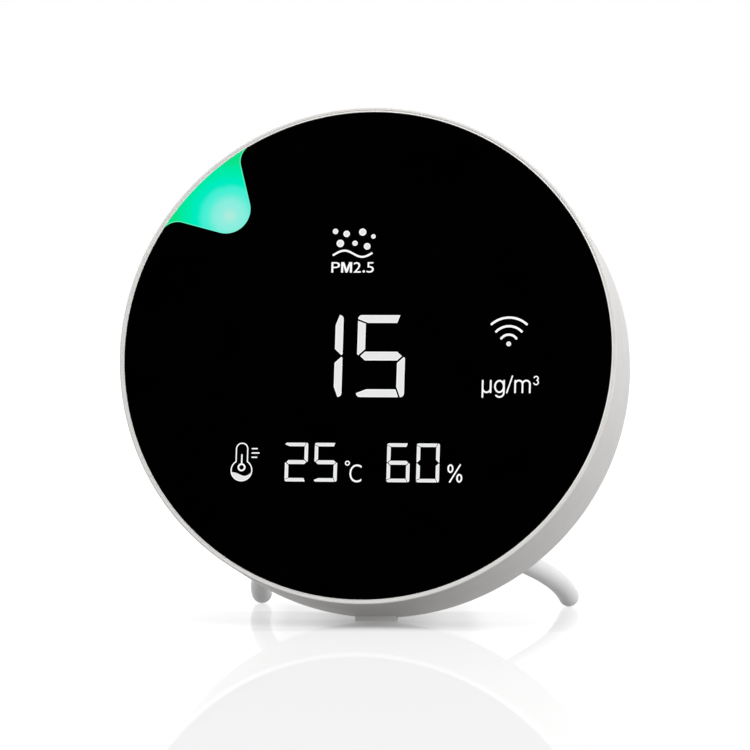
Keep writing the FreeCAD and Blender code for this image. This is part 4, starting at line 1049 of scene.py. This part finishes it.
BUTTON_FLANGE = 0.9
BUTTON_BORE = 2.6
BUTTON_TOP = 1.2
DISH_RADIUS = 3.1
DISH_DEPTH = 0.25


def make_button():
    """The round push button with a shallow dish for the fingertip."""
    front, back = span("power_button", BACK)
    flange = inner_back - 0.2
    flange_radius = BUTTON_RADIUS + BUTTON_FLANGE
    shape = bmesh.new()
    dish = []
    for radius in (CORE, 0.8, 1.4, 2, 2.5, 2.9):
        dish.append((radius, back - DISH_DEPTH * (1 - (radius / DISH_RADIUS) ** 2), 0))
    turned(shape, rounded([
        *dish,
        (3.3, back, 0.3),
        (BUTTON_RADIUS, back, 0.35),
        (BUTTON_RADIUS, flange, 0),
        (flange_radius, flange, 0),
        (flange_radius, front, 0),
        (BUTTON_BORE, front, 0),
        (BUTTON_BORE, back - BUTTON_TOP, 0),
        (CORE, back - BUTTON_TOP, 0),
    ]), BUTTON_X, PORT_HEIGHT, steps=96)
    add_piece("button_cap", shape, "button", BUTTON, replaces=["power_button"])


def make_screws(name, node, places):
    """Round-head screws with a cross recess, their heads towards the back."""
    tip, face = span(node, BACK)
    seat = face - SCREW_TALL
    shape = bmesh.new()
    recess = bmesh.new()
    for x, z in places:
        turned(shape, rounded([
            (0.02, face - 0.02, 0),
            (SCREW_HEAD * 0.6, face - 0.05, 0.4),
            (SCREW_HEAD, face - 0.35, 0.25),
            (SCREW_HEAD, seat, 0),
            (SCREW_SHANK, seat, 0.1),
            (SCREW_SHANK, tip + 0.6, 0),
            (CORE, tip, 0),
        ]), x, z, steps=48)
        arm, half = SCREW_HEAD * 0.55, SCREW_HEAD * 0.14
        cross = []
        for turn in range(4):
            spun = Matrix.Rotation(turn * pi / 2, 2)
            for corner in ((half, half), (half, arm), (-half, arm)):
                cross.append(tuple(spun @ Vector(corner) + Vector((x, z))))
        loft(recess, cross, [(face - 0.5, -0.06), (face + 0.2, 0.05)])
    shape = combined(shape, recess, "DIFFERENCE")
    add_piece(name, shape, "housing", SCREW, replaces=[node])


# ---- carried-over CAD nodes -------------------------------

def smoother():
    """A modifier tree: joins split corners and shades smooth except across sharp edges."""
    tree = bpy.data.node_groups.new("smooth_by_angle", "GeometryNodeTree")
    new = tree.nodes.new
    for way in ("INPUT", "OUTPUT"):
        tree.interface.new_socket("Geometry", in_out=way, socket_type="NodeSocketGeometry")
    start = new("NodeGroupInput")
    end = new("NodeGroupOutput")
    clear = new("GeometryNodeRemoveAttribute")
    clear.inputs["Name"].default_value = "custom_normal"
    merge = new("GeometryNodeMergeByDistance")
    merge.inputs["Distance"].default_value = 0.001 * MM
    faces = new("GeometryNodeSetShadeSmooth")
    edges = new("GeometryNodeSetShadeSmooth")
    edges.domain = "EDGE"
    angle = new("GeometryNodeInputMeshEdgeAngle")
    sharp = new("ShaderNodeMath")
    sharp.operation = "LESS_THAN"
    sharp.inputs[1].default_value = radians(32)
    chain = (start, clear, merge, faces, edges, end)
    for before, after in zip(chain, chain[1:]):
        tree.links.new(before.outputs[0], after.inputs[0])
    tree.links.new(angle.outputs["Unsigned Angle"], sharp.inputs[0])
    tree.links.new(sharp.outputs[0], edges.inputs["Shade Smooth"])
    return tree


TINNED = (0.85, 0.8, 0.62, 1)
GILDED = (0.85, 0.7, 0.4, 1)


# Moulded pieces: node, material name, colour, roughness, then the grain and its depth where they are special.
MOULDED = (
    ("display_reflector", "reflector_plastic", (244, 244, 242), 0.35),
    ("segment_leds", "lamp_resin", (246, 236, 190), 0.25, 0.1),
    ("glow_leds", "glow_lamp_resin", (196, 244, 222), 0.25, 0.1),
    ("control_chips", "chip_epoxy", (30, 30, 32), 0.55, 0.08),
    ("board_connectors", "connector_nylon", (236, 232, 220), 0.45),
    ("display_cable", "ribbon_film", (196, 126, 48), 0.3, 0.6),
    ("sensor_cable", "flat_cable", (214, 214, 210), 0.5, 0.3),
    ("battery_lead", "lead_jacket", (172, 34, 30), 0.45),
    ("button_switch", "switch_body", (44, 44, 46), 0.4),
    ("switch_plunger", "plunger_nylon", (230, 226, 214), 0.4),
    ("sensor_case", "sensor_case_plastic", (60, 66, 74), 0.5),
    ("photodiode", "photodiode_resin", (24, 22, 30), 0.2),
    ("fan_rotor", "fan_plastic", (40, 41, 44), 0.35),
    ("base_pad", "pad_rubber", (222, 222, 220), 0.75, 0.3, 0.02),
    ("hinge_saddle", "hinge_plastic", (226, 225, 222), 0.5),
    ("hinge_cap", "cap_plastic", (228, 227, 224), 0.46),
)


def dress_cad_nodes():
    """Gives every CAD node that still shows its finish and smooth shading."""
    dark_foam = cellular("foam", srgb(52, 52, 54), 0.35, 0.08)
    black = moulded("black_plastic", srgb(34, 34, 36), roughness=0.5)
    finishes = {
        "lens_tape": cellular("adhesive_tape", srgb(70, 70, 72), 0.5, 0.01, 0.7),
        "display_board": circuit("display_board_mask", srgb(240, 240, 238), TINNED),
        "battery_pad": dark_foam,
        "battery_cell": cellular("battery_pouch", srgb(186, 190, 196), 0.7, 0.02, 0.35),
        "main_board": circuit("main_board_mask", srgb(16, 82, 48), GILDED),
        "wireless_module": brushed("tin_shield", (0.66, 0.66, 0.67, 1), 0.34),
        "usb_socket": brushed("socket_steel", (0.6, 0.6, 0.61, 1), 0.28, (1, 0.08, 1)),
        "sensor_lid": brushed("sensor_lid_steel", (0.6, 0.61, 0.62, 1), 0.36),
        "sensor_board": circuit("sensor_board_mask", srgb(18, 50, 120), GILDED),
        "laser_diode": brushed("laser_can", (0.78, 0.66, 0.4, 1), 0.24),
        "fan_stator": black,
        "sensor_gasket": dark_foam,
        "dust_screen": cellular("screen_mesh", srgb(74, 76, 78), 0.4, 0.1, 0.6),
        "climate_sensor": circuit("climate_board_mask", srgb(30, 30, 34), TINNED),
        "inner_screws": SCREW,
    }
    for node, name, levels, *rest in MOULDED:
        finishes[node] = moulded(name, srgb(*levels), *rest)
    tree = smoother()
    for name, node in NODES.items():
        if node.hide_render:
            continue
        node.data.materials.clear()
        node.data.materials.append(finishes[name])
        change = node.modifiers.new("smooth_by_angle", "NODES")
        change.node_group = tree
        if name in ("hinge_saddle", "hinge_cap"):
            soften = node.modifiers.new("soft_edges", "BEVEL")
            soften.width = 0.35 * MM
            soften.segments = 3
            soften.limit_method = "ANGLE"
            soften.angle_limit = radians(40)
            again = node.modifiers.new("smooth_again", "NODES")
            again.node_group = tree


# ---- floor, light and camera ------------------------------

CAMERA_AZIMUTH = 9.347
CAMERA_ELEVATION = 1.159
CAMERA_DISTANCE = 1.0911
CAMERA_TARGET = ORIGIN + Vector((0.00196, 0, -0.00459))
CAMERA_LENS = 239.83
CAMERA_ROLL = 0.03
# The drum's face leans back, so it mirrors a place this far round and up to the camera.
CARD_AZIMUTH = -CAMERA_AZIMUTH
CARD_ELEVATION = 2 * degrees(asin(FACE_UP.y)) - CAMERA_ELEVATION
CARD_INNER = 30
CARD_OUTER = 40
BACKDROP_DISTANCE = 4
FLOOR_MATT = 0.3
FLOOR_GLOW = 0.61
# The glow left under the drum's foot, a painted contact shadow.
FLOOR_SHADOW_GLOW = 0.2
FLOOR_FAR_GLOW = 0.75
FLOOR_BOUNCE = 0.21
FLOOR_SHINE = (0.1, 0.3)
FLOOR_FRONT_SHINE = 0.1
# Where the floor's shine and light change, in metres from the drum's foot: to the side, along the view, or,
# for GLOW_RISE, in any direction.
SHINE_BESIDE = (0.018, 0.026)
SHINE_BEHIND = (0.04, 0.08)
SHINE_NEAR = (-0.2, -0.08)
SHINE_IN_FRONT = (-0.06, -0.24)
# The painted contact shadow: where it fades out to the side, in a narrow and a wide part with their shares,
# and along the view.
SHADE_NARROW = (0, 0.018)
SHADE_WIDE = (0.01, 0.07)
SHADE_SHARES = (0.75, 0.25)
SHADE_DEPTH = (0.012, 0.036)
GLOW_RISE = (0.12, 1.5)
FLOOR_SIZE = 12
BACKDROP_SIZE = (6, 5)
WHITE = (1, 1, 1, 1)
WORLD_COLOUR = (1, 0.997, 0.994, 1)
BOUNCE_COLOUR = (1, 0.988, 0.98, 1)
WORLD_FILL = 0.68
SIDE = Vector((cos(radians(CAMERA_AZIMUTH)), sin(radians(CAMERA_AZIMUTH)), 0))
AHEAD = Vector((-SIDE.y, SIDE.x, 0))


def heading(azimuth, elevation):
    """The direction to a place this many degrees round from the front and up from the floor."""
    azimuth, elevation = radians(azimuth), radians(elevation)
    level = cos(elevation)
    return Vector((sin(azimuth) * level, -cos(azimuth) * level, sin(elevation)))


def plane(name, corners, surface):
    mesh = bpy.data.meshes.new(name)
    mesh.from_pydata(corners, [], [range(len(corners))])
    mesh.materials.append(surface)
    item = placed(name, mesh)
    return item


def floor_surface():
    """White acrylic that glows evenly: it mirrors more beside the drum, and its glow is turned down under the
    drum's foot as a painted contact shadow.
    """
    n = Nodes("floor")
    sideways = n.maths("ABSOLUTE", n.measure("DOT_PRODUCT", n.place(), SIDE))
    ahead = n.measure("DOT_PRODUCT", n.place(), AHEAD)
    beside = n.maths("MAXIMUM", n.ramp(sideways, *SHINE_BESIDE), n.ramp(ahead, *SHINE_BEHIND))
    clear_floor = n.maths("MULTIPLY", beside, n.ramp(ahead, *SHINE_NEAR))
    extra = n.maths("MULTIPLY", clear_floor, FLOOR_SHINE[1] - FLOOR_SHINE[0])
    front = n.maths("MULTIPLY", n.ramp(ahead, *SHINE_IN_FRONT), FLOOR_FRONT_SHINE)
    shine = n.maths("ADD", n.maths("ADD", extra, front), FLOOR_SHINE[0])
    matt = n.add("BsdfDiffuse", Color=(FLOOR_MATT, FLOOR_MATT, FLOOR_MATT, 1))
    clear = n.add("BsdfGlossy", Color=WHITE, Roughness=0.02)
    body = n.join("MixShader", matt, clear, Fac=shine)
    away = n.measure("DISTANCE", n.place(), (0, 0, 0))
    lift = n.ramp(away, *GLOW_RISE, FLOOR_GLOW, FLOOR_FAR_GLOW, "LINEAR")
    # Painted contact shadow: the glow is turned down under the drum's foot, fading out to the sides and along
    # the view.
    near_side = n.maths("MULTIPLY", n.ramp(sideways, *SHADE_NARROW), SHADE_SHARES[0])
    far_side = n.maths("MULTIPLY", n.ramp(sideways, *SHADE_WIDE), SHADE_SHARES[1])
    in_front = n.ramp(n.maths("ABSOLUTE", ahead), *SHADE_DEPTH)
    open_floor = n.maths("MAXIMUM", n.maths("ADD", near_side, far_side), in_front)
    shaded = n.maths("MULTIPLY", n.maths("SUBTRACT", 1, open_floor), FLOOR_GLOW - FLOOR_SHADOW_GLOW)
    glow = n.emission(WHITE, n.maths("SUBTRACT", lift, shaded))
    seen = n.join("AddShader", body, glow)
    dim = n.emission(BOUNCE_COLOUR, FLOOR_BOUNCE)
    bounced = n.add("LightPath").outputs["Is Diffuse Ray"]
    return n.finish(n.join("MixShader", seen, dim, Fac=bounced))


def make_stage():
    size = FLOOR_SIZE
    plane("floor", [(-size, -size, 0), (size, -size, 0), (size, size, 0), (-size, size, 0)], floor_surface())
    n = Nodes("backdrop")
    surface = n.finish(n.emission(WHITE, 1.0))
    width, height = BACKDROP_SIZE
    left, right = AHEAD * BACKDROP_DISTANCE - SIDE * width, AHEAD * BACKDROP_DISTANCE + SIDE * width
    up = Vector((0, 0, height))
    backdrop = plane("backdrop", [left, right, right + up, left + up], surface)
    backdrop.visible_diffuse = False
    backdrop.visible_shadow = False


def make_world():
    """White to the camera and in mirrors, save for a dark card that the lens mirrors; dimmer as a light."""
    world = bpy.data.worlds.new("studio")
    bpy.context.scene.world = world
    n = Nodes("studio", world)
    path = n.add("LightPath")
    view = n.add("TexCoord").outputs["Generated"]
    towards = n.measure("DOT_PRODUCT", view, heading(CARD_AZIMUTH, CARD_ELEVATION))
    card = n.ramp(towards, cos(radians(CARD_OUTER)), cos(radians(CARD_INNER)))
    hidden = n.maths("MULTIPLY", card, path.outputs["Is Glossy Ray"])
    dimmed = n.maths("MULTIPLY", path.outputs["Is Diffuse Ray"], 1 - WORLD_FILL)
    strength = n.maths("SUBTRACT", n.maths("SUBTRACT", 1, hidden), dimmed)
    n.finish(n.add("Background", Color=WORLD_COLOUR, Strength=strength))


# Each softbox: its name, its place from the drum's middle, its size and its power.
SOFTBOXES = (
    ("top_softbox", (0.1, -0.1, 1.2), 1.2, 2.0),
    ("front_softbox", (0.05, -0.32, 0.46), 0.5, 0.75),
    ("right_softbox", (1.08, -0.9, 0.42), 0.7, 8.0),
)


def make_lights():
    """Soft light from overhead, from in front above the camera, and from the right."""
    centre = (CAD_BOX[0] + CAD_BOX[1]) / 2
    for name, offset, size, power in SOFTBOXES:
        light = bpy.data.lights.new(name, "AREA")
        light.shape = "RECTANGLE"
        light.size, light.size_y = size, size
        light.energy = power
        lamp = placed(name, light)
        lamp.location = centre + Vector(offset)
        lamp.rotation_euler = (-Vector(offset)).to_track_quat("-Z", "Y").to_euler()
        lamp.visible_glossy = False


def make_camera():
    back = heading(CAMERA_AZIMUTH, CAMERA_ELEVATION)
    data = bpy.data.cameras.new("camera")
    data.sensor_width = 36
    data.lens = CAMERA_LENS
    data.clip_start, data.clip_end = 0.05, 50
    camera = placed("camera", data)
    camera.location = CAMERA_TARGET + back * CAMERA_DISTANCE
    roll = Matrix.Rotation(radians(CAMERA_ROLL), 3, "Z")
    camera.rotation_euler = ((-back).to_track_quat("-Z", "Y").to_matrix() @ roll).to_euler()
    bpy.context.scene.camera = camera


make_shell()
make_trim()
make_lens()
make_window()
make_symbols()
make_stand()
make_button()
make_screws("hinge_screw_heads", "hinge_screws", HINGE_PLACES)
make_screws("case_screw_heads", "case_screws", BOSS_PLACES)
dress_cad_nodes()
make_stage()
make_world()
make_lights()
make_camera()
bpy.context.scene.view_settings.view_transform = "Standard"
